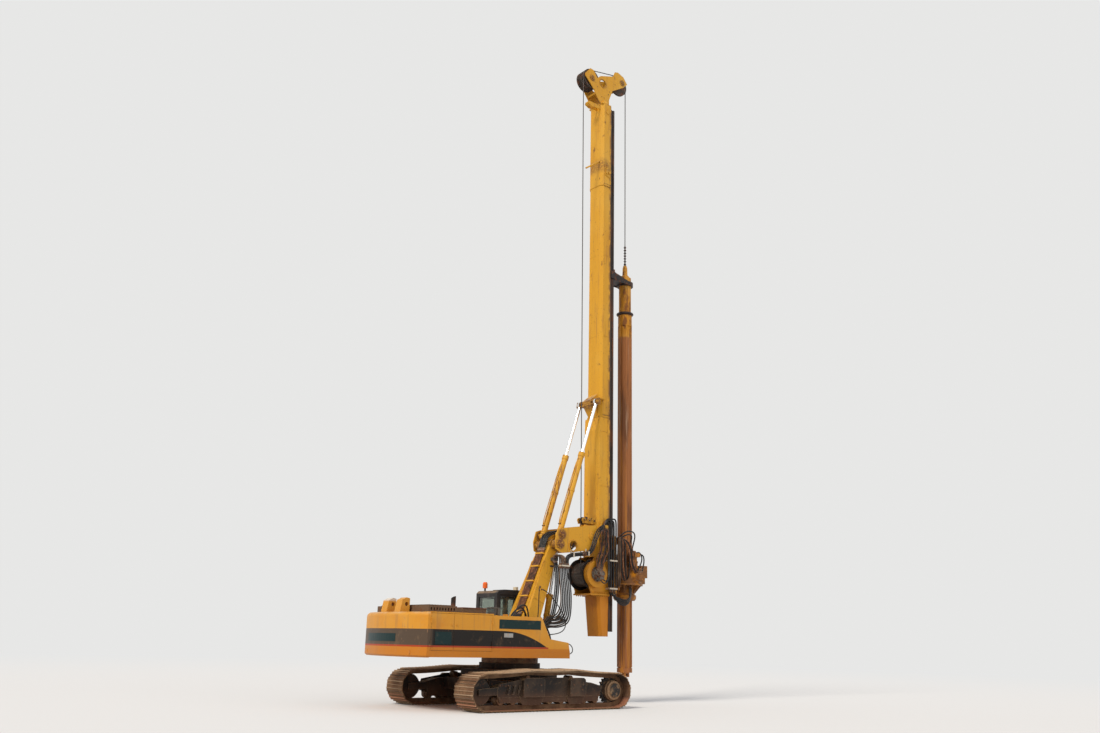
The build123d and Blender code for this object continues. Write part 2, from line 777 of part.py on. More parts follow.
def beacon():
    """Warning lamp on its stem and two work lamps, on the cab's roof."""
    x, y, z = cab_rear + 150, house_half_width - 200, cab_roof + fit
    lamps = bar_z(x, y, 26, z, z + 90) + bar_z(x, y, 70, z + 80, z + 210)
    lamps += Pos(x, y, z + 229) * Cone(70, 48, 40)
    for y in (cab_inner + 160, house_half_width - 160):
        x = cab_front - 380
        lamps += box(x - 40, x + 40, y - 12, y + 12, z, z + 60) + box(x - 20, x + 60, y - 70, y + 70,
                                                                      z + 50, z + 170)
    return lamps


# Boom, cradle and cylinders

boom_lean = degrees(atan2(boom_head[0] - boom_foot[0], boom_head[1] - boom_foot[1]))
boom_length = hypot(boom_head[0] - boom_foot[0], boom_head[1] - boom_foot[1])
boom_widths = [(boom_foot_half, -200), (boom_foot_half, 420), (boom_foot_half - 110, boom_length * 0.59),
               (boom_head_half, boom_length - 350), (boom_head_half, boom_length + 200)]
clamp_heights = [boom_length * share for share in (0.2, 0.37, 0.54, 0.71, 0.86)]


def boom_side():
    """Side outline of the boom about its own axis: deeper in front, where the lift cylinders push."""
    # columns: height along the boom, half depth behind, half depth in front
    depths = [(-60, 110, 110), (330, boom_rear, boom_front), (boom_length * 0.6, boom_rear,
                                                              boom_front - 22),
              (boom_length * 0.82, boom_rear - 12, 180), (boom_length - 60, 120, 120)]
    return [(-rear, h) for h, rear, _ in depths] + [(front, h) for h, _, front in reversed(depths)]


def boom_half(height):
    """Half width of the boom at a height along it."""
    for (y0, h0), (y1, h1) in zip(boom_widths, boom_widths[1:]):
        if height <= h1:
            return y0 + (y1 - y0) * max(0, height - h0) / (h1 - h0)
    return boom_widths[-1][0]


def boom():
    """Tapered box boom: side outline and front outline, crossed, with bosses, edge strips and clamps."""
    body = slab(boom_side(), -boom_foot_half, boom_foot_half)
    front = boom_widths + [(-y, h) for y, h in reversed(boom_widths)]
    wire = Wire.make_polygon([(-600, y, h) for y, h in front], close=True)
    body &= Part() + extrude(Face(wire), amount=1200, dir=(1, 0, 0))
    body += bar_y(0, 0, 130, -boom_foot_half, boom_foot_half)
    body += bar_y(0, boom_length, 140, -boom_head_half, boom_head_half)
    for side in (-1, 1):
        strip = [(-boom_rear - 14, 420), (-boom_rear + 1, 420), (-boom_rear + 1, boom_length * 0.78),
                 (-boom_rear - 14, boom_length * 0.78)]
        edge = boom_half(boom_length * 0.78) - 34
        body += slab(strip, side * edge, side * (edge + 30))
        body += bar_y(0, 0, 175, side * (boom_foot_half - 30), side * boom_foot_half)
        body += bar_y(0, boom_length, 165, side * (boom_head_half - 20), side * boom_head_half)
    for height in clamp_heights:
        body += hose_clamp(height)
    body = Pos(boom_foot[0], 0, boom_foot[1]) * Rot(0, boom_lean, 0) * body
    ex, ez = lift_eye
    for centre in (-lift_y, lift_y):
        for side_sign in (-1, 1):
            inner = centre + side_sign * 42
            lug = slab([(ex - 260, ez - 60), (ex + 10, ez - 70), (ex + 60, ez), (ex + 10, ez + 70),
                        (ex - 160, ez + 140)],
                       inner, inner + side_sign * 8)
            body += lug
        body -= bar_y(ex, ez, 110, centre - 42, centre + 42)
        body -= tube_between(lift_foot, lift_eye, 75, centre)
    body -= bar_y(*boom_foot, pin_radius + 0.3, -boom_foot_half - 5, boom_foot_half + 5)
    body -= bar_y(*boom_head, pin_radius + 0.3, -boom_head_half - 5, boom_head_half + 5)
    return body


def hose_rows():
    """Side places of the hoses that run up the back of the boom."""
    return [(i - (boom_hoses_across - 1) / 2) * boom_hose_pitch for i in range(boom_hoses_across)]


def hose_clamp(height):
    """Cross bar over the hoses on the back of the boom, with a hole for each hose."""
    half = boom_hose_pitch * boom_hoses_across / 2 + 16
    back = -boom_rear - clamp_height
    bar = box(back, -boom_rear + 1, -half, half, height - 22, height + 22)
    for y in hose_rows():
        bar -= Pos(-boom_rear - clamp_height / 2, y, height) * Cylinder(boom_hose_radius + fit, 60)
    return bar


def boom_hoses():
    """Hydraulic hoses held by the clamps on the back of the boom."""
    x = -boom_rear - clamp_height / 2
    hoses = Part()
    for i, y in enumerate(hose_rows()):
        low = clamp_heights[0] - 120 - 18 * (i % 3)
        high = clamp_heights[-1] + 90 + 24 * (i % 2)
        hoses += Pos(x, y, (low + high) / 2) * Cylinder(boom_hose_radius, high - low)
    return Pos(boom_foot[0], 0, boom_foot[1]) * Rot(0, boom_lean, 0) * hoses


def stations(foot, eye):
    """A function from a distance along the cylinder, foot pin to rod eye, to its (x, z) point."""
    length = hypot(eye[0] - foot[0], eye[1] - foot[1])
    return lambda distance: along(foot, eye, distance / length), length


def cylinder_barrel(foot, eye, gland, y):
    """Barrel with a round foot eye, a closed bottom, a clamp ring, an oil pipe and a thicker gland."""
    at, length = stations(foot, eye)
    end = gland * length
    body = tube_between(at(60), at(end), barrel_radius, y) - tube_between(at(150), at(end + 9),
                                                                          rod_radius + rod_fit, y)
    for low, high, extra in ((end - 130, end, 12), (end * 0.52, end * 0.52 + 60, 9), (120, 165, 8)):
        body += tube_between(at(low), at(high), barrel_radius + extra, y, rod_radius + rod_fit)
    body += bar_y(*foot, 92, y - 55, y + 55)
    return body - bar_y(*foot, pin_radius + fit, y - 95, y + 95)


def cylinder_rod(foot, eye, y):
    """Rod with its eye, bored wide because the eye may drift about its pin."""
    at, length = stations(foot, eye)
    body = tube_between(at(0.17 * length), at(length - 60), rod_radius, y)
    body += bar_y(*eye, 95, y - 36, y + 36)
    return body - bar_y(*eye, eye_pin_radius + eye_clearance, y - 80, y + 80)


def pair(make, half):
    """Two like pieces, one each side of the middle."""
    return make(-half) + make(half)


def lift_eye_pins():
    """Pins of the lift cylinders' rod eyes, on the boom."""
    return pair(lambda y: bar_y(*lift_eye, eye_pin_radius, y - 45, y + 45), lift_y)


def cradle():
    """Two side plates on the boom's head, joined by a cross box, with bosses and a round hole."""
    outline = [(1120, 4185), (1330, 4087), (1812, 4149), (2321, 4228), (2560, 4515), (2650, 4640),
               (2650, 4880),
               (2600, 4980), (1330, 4790), (1180, 4740), (1090, 4430)]
    body = Part()
    for side in (-1, 1):
        plate = slab(outline, side * plate_inner, side * plate_outer)
        plate += bar_y(*cradle_hole, hole_radius + 30, side * plate_inner, side * (plate_outer + 18))
        plate -= bar_y(*cradle_hole, hole_radius, side * (plate_inner - 5), side * (plate_outer + 25))
        plate += bar_y(*boom_head, 130, side * (boom_head_half + run_clearance), side * (plate_outer + 30))
        plate += bar_y(*boom_head, 72, side * plate_outer, side * (plate_outer + 52))
        plate += bar_y(*raise_foot, 88, side * (raise_y + barrel_radius + run_clearance),
                       side * (plate_outer + 30))
        plate += bar_y(*raise_foot, 62, side * plate_outer, side * (plate_outer + 52))
        plate += bar_y(*raise_foot, pin_radius, side * (raise_y - 60), side * plate_outer)
        plate += bar_y(*mast_pivot, 120, side * plate_inner, side * (plate_outer + 25))
        body += plate
    cross = box(1860, 2180, -plate_inner - 1, plate_inner + 1, 4330, 4720)
    cross -= box(1885, 2155, -plate_inner + 40, plate_inner - 40, 4355, 4695)
    body += cross
    body += bar_y(*boom_head, pin_radius, -boom_head_half - 7, boom_head_half + 7)
    body += bar_y(*mast_pivot, pin_radius, -plate_outer - 40, plate_outer + 40)
    return body


# Mast

def mast_section(rear, half, low, high):
    """Length of mast with its rear corners bevelled."""
    return plan([(mast_front, -half), (mast_front, half), (rear + mast_bevel, half),
                 (rear, half - mast_bevel),
                 (rear, mast_bevel - half), (rear + mast_bevel, -half)], low, high)


def mast_knuckle():
    """Knuckle on the back of the mast, with a boss for the pivot pin."""
    x, z = mast_pivot
    root = mast_rear_low + mast_bevel
    outline = [(x, z - 112), (mast_rear_low, z - 260), (root, z - 260), (root, z + 260),
               (mast_rear_low, z + 260), (x, z + 112)]
    body = slab(outline, -300, 300)
    body += bar_y(x, z, 112, -plate_inner + run_clearance, plate_inner - run_clearance)
    return body - bar_y(x, z, pin_radius + fit, -plate_inner, plate_inner)


def mast_lower():
    """Deep lower box of the mast, tapered at its top, with doubler plates beside the rails."""
    outline = [(mast_front, winch_top), (mast_rear_low, winch_top), (mast_rear_low, mast_joint - 420),
               (mast_rear_high, mast_joint), (mast_front, mast_joint)]
    body = slab(outline, -mast_low_half, mast_low_half) & mast_section(mast_rear_low, mast_low_half,
                                                                       winch_top, mast_joint)
    for side in (-1, 1):
        face = side * mast_low_half
        body += box(mast_front - 95, mast_front, face - side * 1, face + side * 8, winch_top,
                    mast_joint - 60)
        for z in (winch_top + 26, 5075):
            body += box(mast_rear_low + mast_bevel, mast_front, face - side * 1, face + side * 14, z - 14,
                        z + 14)
    return body + mast_knuckle()


def mast_upper():
    """Slimmer upper box of the mast, with its joint collars, brackets and the raising bracket."""
    body = mast_section(mast_rear_high, mast_half, mast_joint + 0.3, mast_top)
    body += mast_section(mast_rear_high - 8, mast_half + 10, top_section, mast_top)
    for z in (mast_joint + 30, top_section):
        body += mast_section(mast_rear_high - 14, mast_half + 15, z - 22, z + 22)
    z = top_section + 420
    for side in (-1, 1):
        face = side * (mast_half + 10)
        catch = [(mast_rear_high + 95, z + 300), (mast_rear_high + 95, z - 60), (mast_front - 60, z - 130),
                 (mast_front - 10, z + 120), (mast_front - 60, z + 420)]
        body += slab(catch, face - side * 1, face + side * 24)
        body += bar_y(mast_front - 110, z + 40, 52, face, face + side * 74)
        body += slab([(mast_rear_high + 120, z - 20), (mast_rear_high + 190, z - 40),
                      (mast_rear_high + 250, z + 260),
                      (mast_rear_high + 180, z + 280)], face, face + side * 62)
        face = side * mast_half
        body += slab([(mast_front - 250, mast_top - 300), (mast_front - 120, mast_top - 360),
                      (mast_front - 140, mast_top - 140)],
                     face, face + side * 26)
    body += tube_between((mast_rear_high + 20, z + 440), (mast_rear_high - 590, z - 10), 26,
                         -mast_half + mast_bevel + 30)
    return body + raise_bracket() + rope_guide()


def mast_foot():
    """Tapered foot with bevelled rear corners under the winch flange."""
    low_half, high_half, drop = mast_half - 26, mast_half - 6, winch_flange - 40.3
    sections = []
    for rear, half, z in ((2982, low_half, foot_bottom), (2873, high_half, drop)):
        bevel = mast_bevel * 0.8
        points = [(mast_front, -half), (mast_front, half), (rear + bevel, half), (rear, half - bevel),
                  (rear, bevel - half),
                  (rear + bevel, -half)]
        sections.append(Face(Wire.make_polygon([(x, y, z) for x, y in points], close=True)))
    plate = box(2860, mast_front, -high_half - 12, high_half + 12, drop - 24, drop)
    return Part() + loft(sections, ruled=True) + plate


def mast_rails():
    """Two guide rails down the mast's front, each a flange on a web."""
    rails = Part()
    for side in (-1, 1):
        outer = side * mast_half
        rails += box(mast_front + 0.3, rail_front - 60, outer - side * 18, outer - side * (rail_width - 18),
                     rail_bottom, rail_top)
        rails += box(rail_front - 61, rail_front, outer, outer - side * rail_width, rail_bottom, rail_top)
        rails += box(mast_front + 0.3, mast_front + 30, outer, outer - side * rail_width, rail_bottom,
                     rail_top)
    return rails


def raise_bracket():
    """Twin cross beams on the back of the mast with cheeks for the raising cylinders' rod eyes."""
    x, z = raise_eye
    half = raise_y + 62
    inner = raise_y - 60
    root = mast_rear_high + mast_bevel
    body = slab([(x - 70, z - 75), (x - 10, z - 120), (mast_rear_high, z - 420), (root, z - 420),
                 (root, z + 300),
                 (mast_rear_high, z + 300), (x - 70, z + 75)], -190, 190)
    for low, high in ((z - 75, z - 30), (z + 30, z + 75)):
        body += box(x - 70, x + 90, -inner, inner, low, high)
    for side in (-1, 1):
        body += bar_y(x, z, eye_pin_radius, side * (inner - 12), side * half)
        for face in (side * (inner - 22), side * half):
            body += slab([(x - 90, z - 84), (x + 95, z - 84), (x + 95, z + 84), (x - 60, z + 95)], face,
                         face + side * 22)
        body += bar_y(x, z, 62, side * (half + 21), side * (half + 40))
        bridge = side * (mast_half - 20)
        body += box(x + 40, root + 20, bridge, side * (half + 22), z + 96, z + 124)
    return body


def winch_frame():
    """Two round-backed side plates, the front wall between them and the ribbed flange below."""
    dx, dz = drum_axis
    body = Part()
    for side in (-1, 1):
        y0, y1 = side * winch_half, side * (winch_half + 28)
        plate = bar_y(dx, dz, winch_back, y0, y1)
        plate += slab([(dx, winch_flange - 1), (mast_front, winch_flange - 1),
                       (mast_front, winch_top - 0.3),
                       (dx + 20, winch_top - 0.3), (dx - 160, dz + 280)], y0, y1)
        plate += slab([(dx - 120, winch_flange - 1), (dx + 200, winch_flange - 1), (dx + 200, dz),
                       (dx - 280, dz - 170)],
                      y0, y1)
        body += plate + bar_y(dx, dz, 246, y1 - side * 1, y1 + side * 16)
    face = -winch_half - 28
    body += bar_y(dx, dz, winch_back, face + 1, face - winch_housing)
    body += box(dx + drum_flange + 20, mast_front, -winch_half - 1, winch_half + 1, winch_flange - 1,
                winch_top - 0.3)
    half = winch_half + 60
    body += box(flange_rear, mast_front, -half, half, winch_flange - 40, winch_flange)
    for i in range(flange_ribs):
        x = flange_rear + 60 + (mast_front - flange_rear - 140) * i / (flange_ribs - 1)
        for side in (-1, 1):
            rib = slab([(x - 14, winch_flange - 1), (x + 14, winch_flange - 1), (x + 14, winch_flange + 58),
                        (x - 14, winch_flange + 58)], side * (winch_half + 27), side * (half - 4))
            body += rib + bar_z(x + 55, side * (half - 22), 17, winch_flange - 66, winch_flange - 39)
    for side in (-1, 1):
        body -= bar_y(dx, dz, 90 + fit, side * (winch_half - 10), side * (winch_half + winch_housing + 30))
    return body


def winch_motor():
    """Gearbox with its bolt ring and hydraulic motor outside the right-hand plate, bearing cap opposite."""
    dx, dz = drum_axis
    cap = winch_half + 28 + 16 + fit
    outer = winch_half + 28 + winch_housing + fit
    # columns: distance outward, radius
    rows = [(0, 214), (34, 214), (34, 178), (96, 172), (96, 128), (150, 120), (150, 96), (232, 90),
            (240, 78)]
    body = wheel_y(dx, dz, -outer, rows) + box(dx - 70, dx + 70, -outer - 150, -outer - 226, dz - 150,
                                               dz - 60)
    for i in range(12):
        turn = 2 * pi * i / 12
        body += bar_y(dx + 196 * cos(turn), dz + 196 * sin(turn), 11, -outer - 33, -outer - 46)
    return body + bar_y(dx, dz, 150, cap, cap + 60) + bar_y(dx, dz, 96, cap + 59, cap + 84)


def winch_drum():
    """Rope drum: two dished flanges, the barrel wound with its layers of rope, and the shaft ends."""
    dx, dz = drum_axis
    half = winch_half - 8
    turns = 20
    inside = half - 30
    pitch = 2 * inside / turns
    rows = [(-half, drum_flange), (-half + 14, drum_flange), (-half + 26, drum_flange - 40),
            (-inside, drum_radius - 12)]
    for i in range(turns):
        start = -inside + i * pitch
        rows += [(start + pitch * 0.25, drum_radius), (start + pitch * 0.75, drum_radius),
                 (start + pitch, drum_radius - 12)]
    rows += [(half - 26, drum_flange - 40), (half - 14, drum_flange), (half, drum_flange)]
    body = wheel_y(dx, dz, 0, rows)
    for side in (-1, 1):
        body += bar_y(dx, dz, 90, side * (half - 20), side * (winch_half + 26))
    return body


def mast_head():
    """Forked head: two side plates with a round hole, spacer bars, axles, keeper and foot gussets."""
    low = mast_top + 39
    rx, rz = head_rear_axle
    fx, fz = head_front_axle
    outline = [(mast_rear_high, low), (rx + 30, rz - 330), (rx - 300, rz - 10), (rx - 290, rz + 90),
               (rx - 84, rz + 340),
               (rx + 60, rz + 320), (rx + 232, rz + 97), (rx + 380, rz + 230), (fx - 412, fz + 90),
               (fx - 330, fz + 290),
               (fx - 200, fz + 330), (fx + 60, fz + 250), (fx + 234, fz + 34), (fx + 88, fz - 130),
               (fx - 450, fz - 484),
               (mast_front, mast_top + 300), (mast_front, low)]
    body = box(mast_rear_high - 10, mast_front, -mast_half, mast_half, mast_top + fit, mast_top + 40)
    for side in (-1, 1):
        y0, y1 = side * head_half, side * (head_half + head_plate)
        plate = slab(outline, y0, y1)
        plate += bar_y(rx + 477, rz - 24, 155, y1 - side * 1, y1 + side * 8)
        plate -= bar_y(rx + 477, rz - 24, 130, y0 - side * 5, y1 + side * 15)
        for x, z in (head_rear_axle, head_front_axle):
            plate += bar_y(x, z, 92, y1 - side * 1, y1 + side * 16) + bar_y(x, z, 40, y1, y1 + side * 34)
        body += plate
        gusset = [(mast_rear_high + 60, low - 1), (mast_front - 60, low - 1), (mast_front - 120, low + 160),
                  (mast_rear_high + 120, low + 160)]
        body += slab(gusset, y1 - side * 1, side * (mast_half - 20)) & slab_taper(y1, side)
    # columns: x, z, radius of each bar between the plates
    spacers = [(rx + 660, rz - 180, 48), (rx + 700, rz - 10, 30), (rx + 200, rz - 450, 36)]
    for x, z, radius in spacers:
        body += bar_y(x, z, radius, -head_half - 1, head_half + 1)
    for x, z in (head_rear_axle, head_front_axle):
        body += bar_y(x, z, axle_radius, -head_half - 1, head_half + 1)
    return body


def slab_taper(face, side):
    """Wedge that leans the foot gussets in towards the head's plates."""
    low = mast_top + 30
    points = [(face - side * 2, low), (side * mast_half, low), (face + side * 2, low + 175),
              (face - side * 2, low + 175)]
    wire = Wire.make_polygon([(mast_rear_high - 50, y, z) for y, z in points], close=True)
    return Part() + extrude(Face(wire), amount=mast_front - mast_rear_high + 100, dir=(1, 0, 0))


def rope_guide():
    """Bracket with a small roller behind the mast's top, beside the falling rope."""
    x, z = mast_rear_high - 480, mast_top - 120
    root = mast_rear_high + 20
    arm = [(x - 70, z - 40), (x + 80, z - 110), (root, z - 60), (root, z + 60), (x - 40, z + 50)]
    guide = bar_y(x, z, 24, rope_y - 90, rope_y + 90) + bar_y(x, z, 66, rope_y - 60, rope_y + 60)
    for side in (-1, 1):
        guide += slab(arm, rope_y + side * 66, rope_y + side * 90)
    return guide


def sheave(axle, y, radius, half):
    """Grooved rope wheel with a dished web and a hub, bored for its axle."""
    floor = radius - groove_depth
    hub, web = axle_radius + 40, half * 0.35
    rows = [(-half, axle_radius + fit), (-half, hub), (-web, hub + 16), (-web, floor - 34),
            (-half, floor - 16), (-half, radius),
            (-half * 0.4, floor), (half * 0.4, floor), (half, radius), (half, floor - 16),
            (web, floor - 34), (web, hub + 16),
            (half, hub), (half, axle_radius + fit)]
    face = make_face(Polyline(*[(r, 0, a) for a, r in rows], close=True))
    return Pos(axle[0], y, axle[1]) * Rot(90, 0, 0) * revolve(face, Axis.Z)


def front_sheave():
    """Sheave that the kelly's rope runs over."""
    return sheave(head_front_axle, 0, sheave_radius, sheave_half)


def sheave_row():
    """Side places of the sheaves at the back of the head."""
    return [(i - (rear_sheave_count - 1) / 2) * sheave_pitch for i in range(rear_sheave_count)]


def rear_sheaves():
    """Row of sheaves at the back of the head."""
    wheels = Part()
    for y in sheave_row():
        wheels += sheave(head_rear_axle, y, rear_sheave_radius, sheave_half)
    return wheels


# Rotary head and kelly bar

def rotary_carriage():
    """Carriage that slides on the mast's rails: plate, rails' shoes, ribs and the crowd rod's lug."""
    x0 = rail_front + slide_fit
    low, high = carriage_low, carriage_high
    half = mast_half + 60
    body = box(x0, x0 + 40, -half, half, low, high)
    for y in (-half + 30, -150, 150, half - 30):
        body += slab([(x0 + 39, low), (x0 + 120, low + 60), (x0 + 120, high - 60), (x0 + 39, high)], y - 15,
                     y + 15)
    for z in (low + 40, (low + high) / 2, high - 40):
        body += box(x0 + 39, x0 + 119, -half + 20, half - 20, z - 14, z + 14)
    for side in (-1, 1):
        outer, inner = side * half, side * (mast_half + slide_fit)
        for z in (low, high - 400):
            body += box(mast_front + 50, x0 + 1, inner, outer, z, z + 400)
            body += box(mast_front + 90, mast_front + 150, outer - side * 1, outer + side * 26, z + 60,
                        z + 340)
    body += box(crowd_axis - 30, x0 + 1, -60, 60, high - 160, high - 40)
    return body


def rotary_body():
    """Gearbox round the kelly: bolted flanges and ribs, arms to the carriage, drive bush below."""
    x0 = rail_front + slide_fit + 120 + fit
    bore = kelly_radius + bore_clearance
    # columns: height, radius of the turned housing
    rows = [(rotary_bottom, 300), (rotary_bottom + 60, 345), (rotary_bottom + 150, 345),
            (rotary_bottom + 180, 300),
            (3330, 300), (3350, 545), (3400, 545), (3402, 505), (gear_top - 50, 505),
            (gear_top - 48, 545), (gear_top, 545), (gear_top, 330),
            (3980, 318), (3982, 336), (4030, 336), (4032, 300), (4230, 290)]
    points = [(0, rows[0][0])] + [(r, z) for z, r in rows] + [(0, rows[-1][0])]
    face = make_face(Polyline(*[(r, 0, z) for r, z in points], close=True))
    body = Pos(kelly_x, 0, 0) * revolve(face, Axis.Z)
    for i in range(housing_ribs):
        rib = slab([(280, 3335), (500, 3352), (310, 3120), (280, 3120)], -12, 12)
        body += Pos(kelly_x, 0, 0) * Rot(0, 0, 360 * (i + 0.5) / housing_ribs) * rib
    for side in (-1, 1):
        arm = [(x0, 3180), (kelly_x - 250, 3330), (kelly_x - 250, 3720), (x0, 4260)]
        body += slab(arm, side * 190, side * 236)
    body += box(x0, x0 + 30, -300, 300, 3120, 4320) + box(x0, kelly_x - 250, -200, 200, 3380, 3420)
    body += side_boxes()
    body -= bar_z(kelly_x, 0, bore, rotary_bottom - 5, 4300)
    return body


def side_boxes():
    """Valve block and oil cooler on the front and side of the gearbox."""
    x1 = kelly_x + rotary_reach
    boxes = box(kelly_x + 400, x1 - 60, -190, 190, 3420, 3670)
    boxes += box(kelly_x + 470, x1, -230, 60, 3600, 3960) + box(kelly_x + 500, x1 - 40, 90, 250, 3560, 3820)
    boxes += box(kelly_x - 120, kelly_x + 180, -620, -420, 3460, 3700)
    boxes += box(kelly_x - 60, kelly_x + 110, -700, -600, 3500, 3640)
    return boxes


def rotary_motors():
    """Planetary gears and hydraulic motors that stand on the gearbox, with their hose ports."""
    # columns: height over the gearbox's top, radius
    rows = [(0, 136), (36, 136), (38, 122), (150, 122), (152, 134), (186, 134), (188, 112), (300, 104),
            (302, 124), (330, 124),
            (332, 88), (470, 84), (500, 60)]
    motors = Part()
    for side in (-1, 1):
        x, y, z = kelly_x - motor_back, side * motor_side, gear_top + fit
        points = [(0, 0)] + [(r, h) for h, r in rows] + [(0, rows[-1][0])]
        face = make_face(Polyline(*[(r, 0, h) for r, h in points], close=True))
        motor = revolve(face, Axis.Z) + box(-80, 150, -140, 130, 316, 440) + box(-150, -60, -60, 60, 340,
                                                                                460)
        for k in (-1, 1):
            motor += bar_z(k * 40, 100, 26, 430, 510)
        motors += Pos(x, y, z) * motor
    return motors


def crowd_barrel():
    """Barrel of the crowd cylinder, between the rails on the mast's front, with its clamp rings."""
    x = crowd_axis
    body = bar_z(x, 0, crowd_barrel_radius, crowd_gland, crowd_gland + crowd_length)
    body -= bar_z(x, 0, crowd_rod_radius + rod_fit, crowd_gland - 1, crowd_gland + crowd_length - 120)
    collar = bar_z(x, 0, crowd_barrel_radius + 5, crowd_gland, crowd_gland + 110)
    body += collar - bar_z(x, 0, crowd_rod_radius + rod_fit, crowd_gland - 10, crowd_gland + 200)
    for share in (0.12, 0.5, 0.94):
        z = crowd_gland + crowd_length * share
        foot = box(mast_front + fit, x, -110, 110, z - 45, z + 45)
        body += foot - bar_z(x, 0, crowd_barrel_radius - 2, z - 50, z + 50)
    return body


def crowd_rod():
    """Rod of the crowd cylinder, standing on the carriage's lug."""
    return bar_z(crowd_axis, 0, crowd_rod_radius, carriage_high - 40 + fit, crowd_rod_top)


def kelly_bar():
    """Outer kelly tube with drive ribs, foot ring, shock collar and the plain sleeve above it."""
    body = bar_z(kelly_x, 0, kelly_core, kelly_bottom, kelly_collar)
    for i in range(6):
        rib = box(kelly_core - 20, kelly_radius, -kelly_rib / 2, kelly_rib / 2, kelly_bottom + 150,
                  kelly_collar - 380)
        body += Pos(kelly_x, 0, 0) * Rot(0, 0, 60 * i) * rib
    body += bar_z(kelly_x, 0, kelly_radius, kelly_bottom, kelly_bottom + 130)
    body += bar_z(kelly_x, 0, kelly_radius - 4, kelly_collar - 420, kelly_collar)
    body += bar_z(kelly_x, 0, sleeve_radius, kelly_collar - 1, kelly_top)
    ring = Pos(kelly_x, 0, kelly_collar) * Torus(kelly_radius + 16, 34)
    return body + bar_z(kelly_x, 0, kelly_radius + 16, kelly_collar - 34, kelly_collar + 34) + ring


def kelly_stub():
    """Square stub under the kelly with a cross bore for the tool's pin."""
    stub = box(kelly_x - stub_half, kelly_x + stub_half, -stub_half, stub_half, stub_bottom,
               kelly_bottom - 0.3)
    return stub - bar_y(kelly_x, (stub_bottom + kelly_bottom) / 2, stub_pin, -stub_half - 5, stub_half + 5)


def kelly_guide():
    """Ring that guides the kelly's top on two arms from a clamp across the rails."""
    outer = sleeve_radius + 66
    body = bar_z(kelly_x, 0, outer, guide_low, guide_low + 130)
    body += box(rail_front + fit, rail_front + 50, -mast_half, mast_half, guide_low - 40, guide_high + 90)
    arm = [(rail_front + 49, guide_low + 20), (kelly_x, guide_low + 10), (kelly_x, guide_low + 120),
           (rail_front + 49, guide_high + 70)]
    for side in (-1, 1):
        body += slab(arm, side * (sleeve_radius + 20), side * (sleeve_radius + 50))
    body += slab([(rail_front + 49, guide_low + 30), (kelly_x - 150, guide_low + 40),
                  (kelly_x - 150, guide_low + 70),
                  (rail_front + 49, guide_low + 60)], -sleeve_radius - 21, sleeve_radius + 21)
    for side in (-1, 1):
        body += box(mast_front + 30, rail_front + 1, side * (mast_half + fit), side * (mast_half + 30),
                    guide_low, guide_high)
        body += box(rail_front + fit, rail_front + 50, side * (mast_half - 1), side * (mast_half + 30),
                    guide_low, guide_high)
    return body - bar_z(kelly_x, 0, sleeve_radius + slide_fit, guide_low - 50, guide_high + 95)


def swivel():
    """Swivel on top of the kelly and the short twisted link up to its rope."""
    # columns: height, radius
    rows = [(kelly_top + fit, 150), (kelly_top + 70, 130), (kelly_top + 110, 84), (swivel_top - 90, 76),
            (swivel_top, 46)]
    bead = (link_top - swivel_top) / link_beads
    for i in range(link_beads):
        z = swivel_top + i * bead
        rows += [(z + bead * 0.2, 20), (z + bead * 0.5, 46), (z + bead * 0.8, 20)]
    rows.append((link_top, 20))
    points = [(0, rows[0][0])] + [(r, z) for z, r in rows] + [(0, rows[-1][0])]
    face = make_face(Polyline(*[(r, 0, z) for r, z in points], close=True))
    return Pos(kelly_x, 0, 0) * revolve(face, Axis.Z)


def rope_piece(start, end):
    """Straight rope between two points (x, y, z), short by a small gap at each end."""
    line = Vector(*end) - Vector(*start)
    middle = (Vector(*start) + Vector(*end)) / 2
    return Plane(origin=middle, z_dir=line) * Cylinder(rope_radius, line.length - 2 * rope_gap)


def rope_bend(axle, y, radius, first, last):
    """Rope lying round a sheave, between two angles from the +X direction, in degrees."""
    ring = Pos(radius, 0, 0) * Circle(rope_radius)
    bend = revolve(Plane.XZ * ring, Axis.Z, last - first)
    return Pos(axle[0], y, axle[1]) * Rot(90, 0, 0) * Rot(0, 0, first) * bend


def kelly_rope():
    """Rope over the head: up from the swivel, round the front sheave, across and round a rear sheave."""
    fx, fz = head_front_axle
    rx, rz = head_rear_axle
    reach = hypot(fx - rx, fz - rz)
    leave = atan2(fz - rz, fx - rx) + acos((rear_rope_line - rope_line) / reach)
    start = (fx + rope_line * cos(leave), 0, fz + rope_line * sin(leave))
    end = (rx + rear_rope_line * cos(leave), rope_y, rz + rear_rope_line * sin(leave))
    rope = bar_z(kelly_x, 0, rope_radius, link_top + fit, fz)
    rope += rope_bend(head_front_axle, 0, rope_line, 0, degrees(leave))
    rope += rope_piece(start, end)
    return rope + rope_bend(head_rear_axle, rope_y, rear_rope_line, degrees(leave), 180)


def winch_rope():
    """Rope from the drum up to the sheave it runs over at the back of the head."""
    start = (drum_axis[0] - drum_radius - rope_radius - fit, drum_axis[1])
    end = (head_rear_axle[0] - rear_rope_line, head_rear_axle[1] - fit)
    return tube_between(start, end, rope_radius, rope_y)


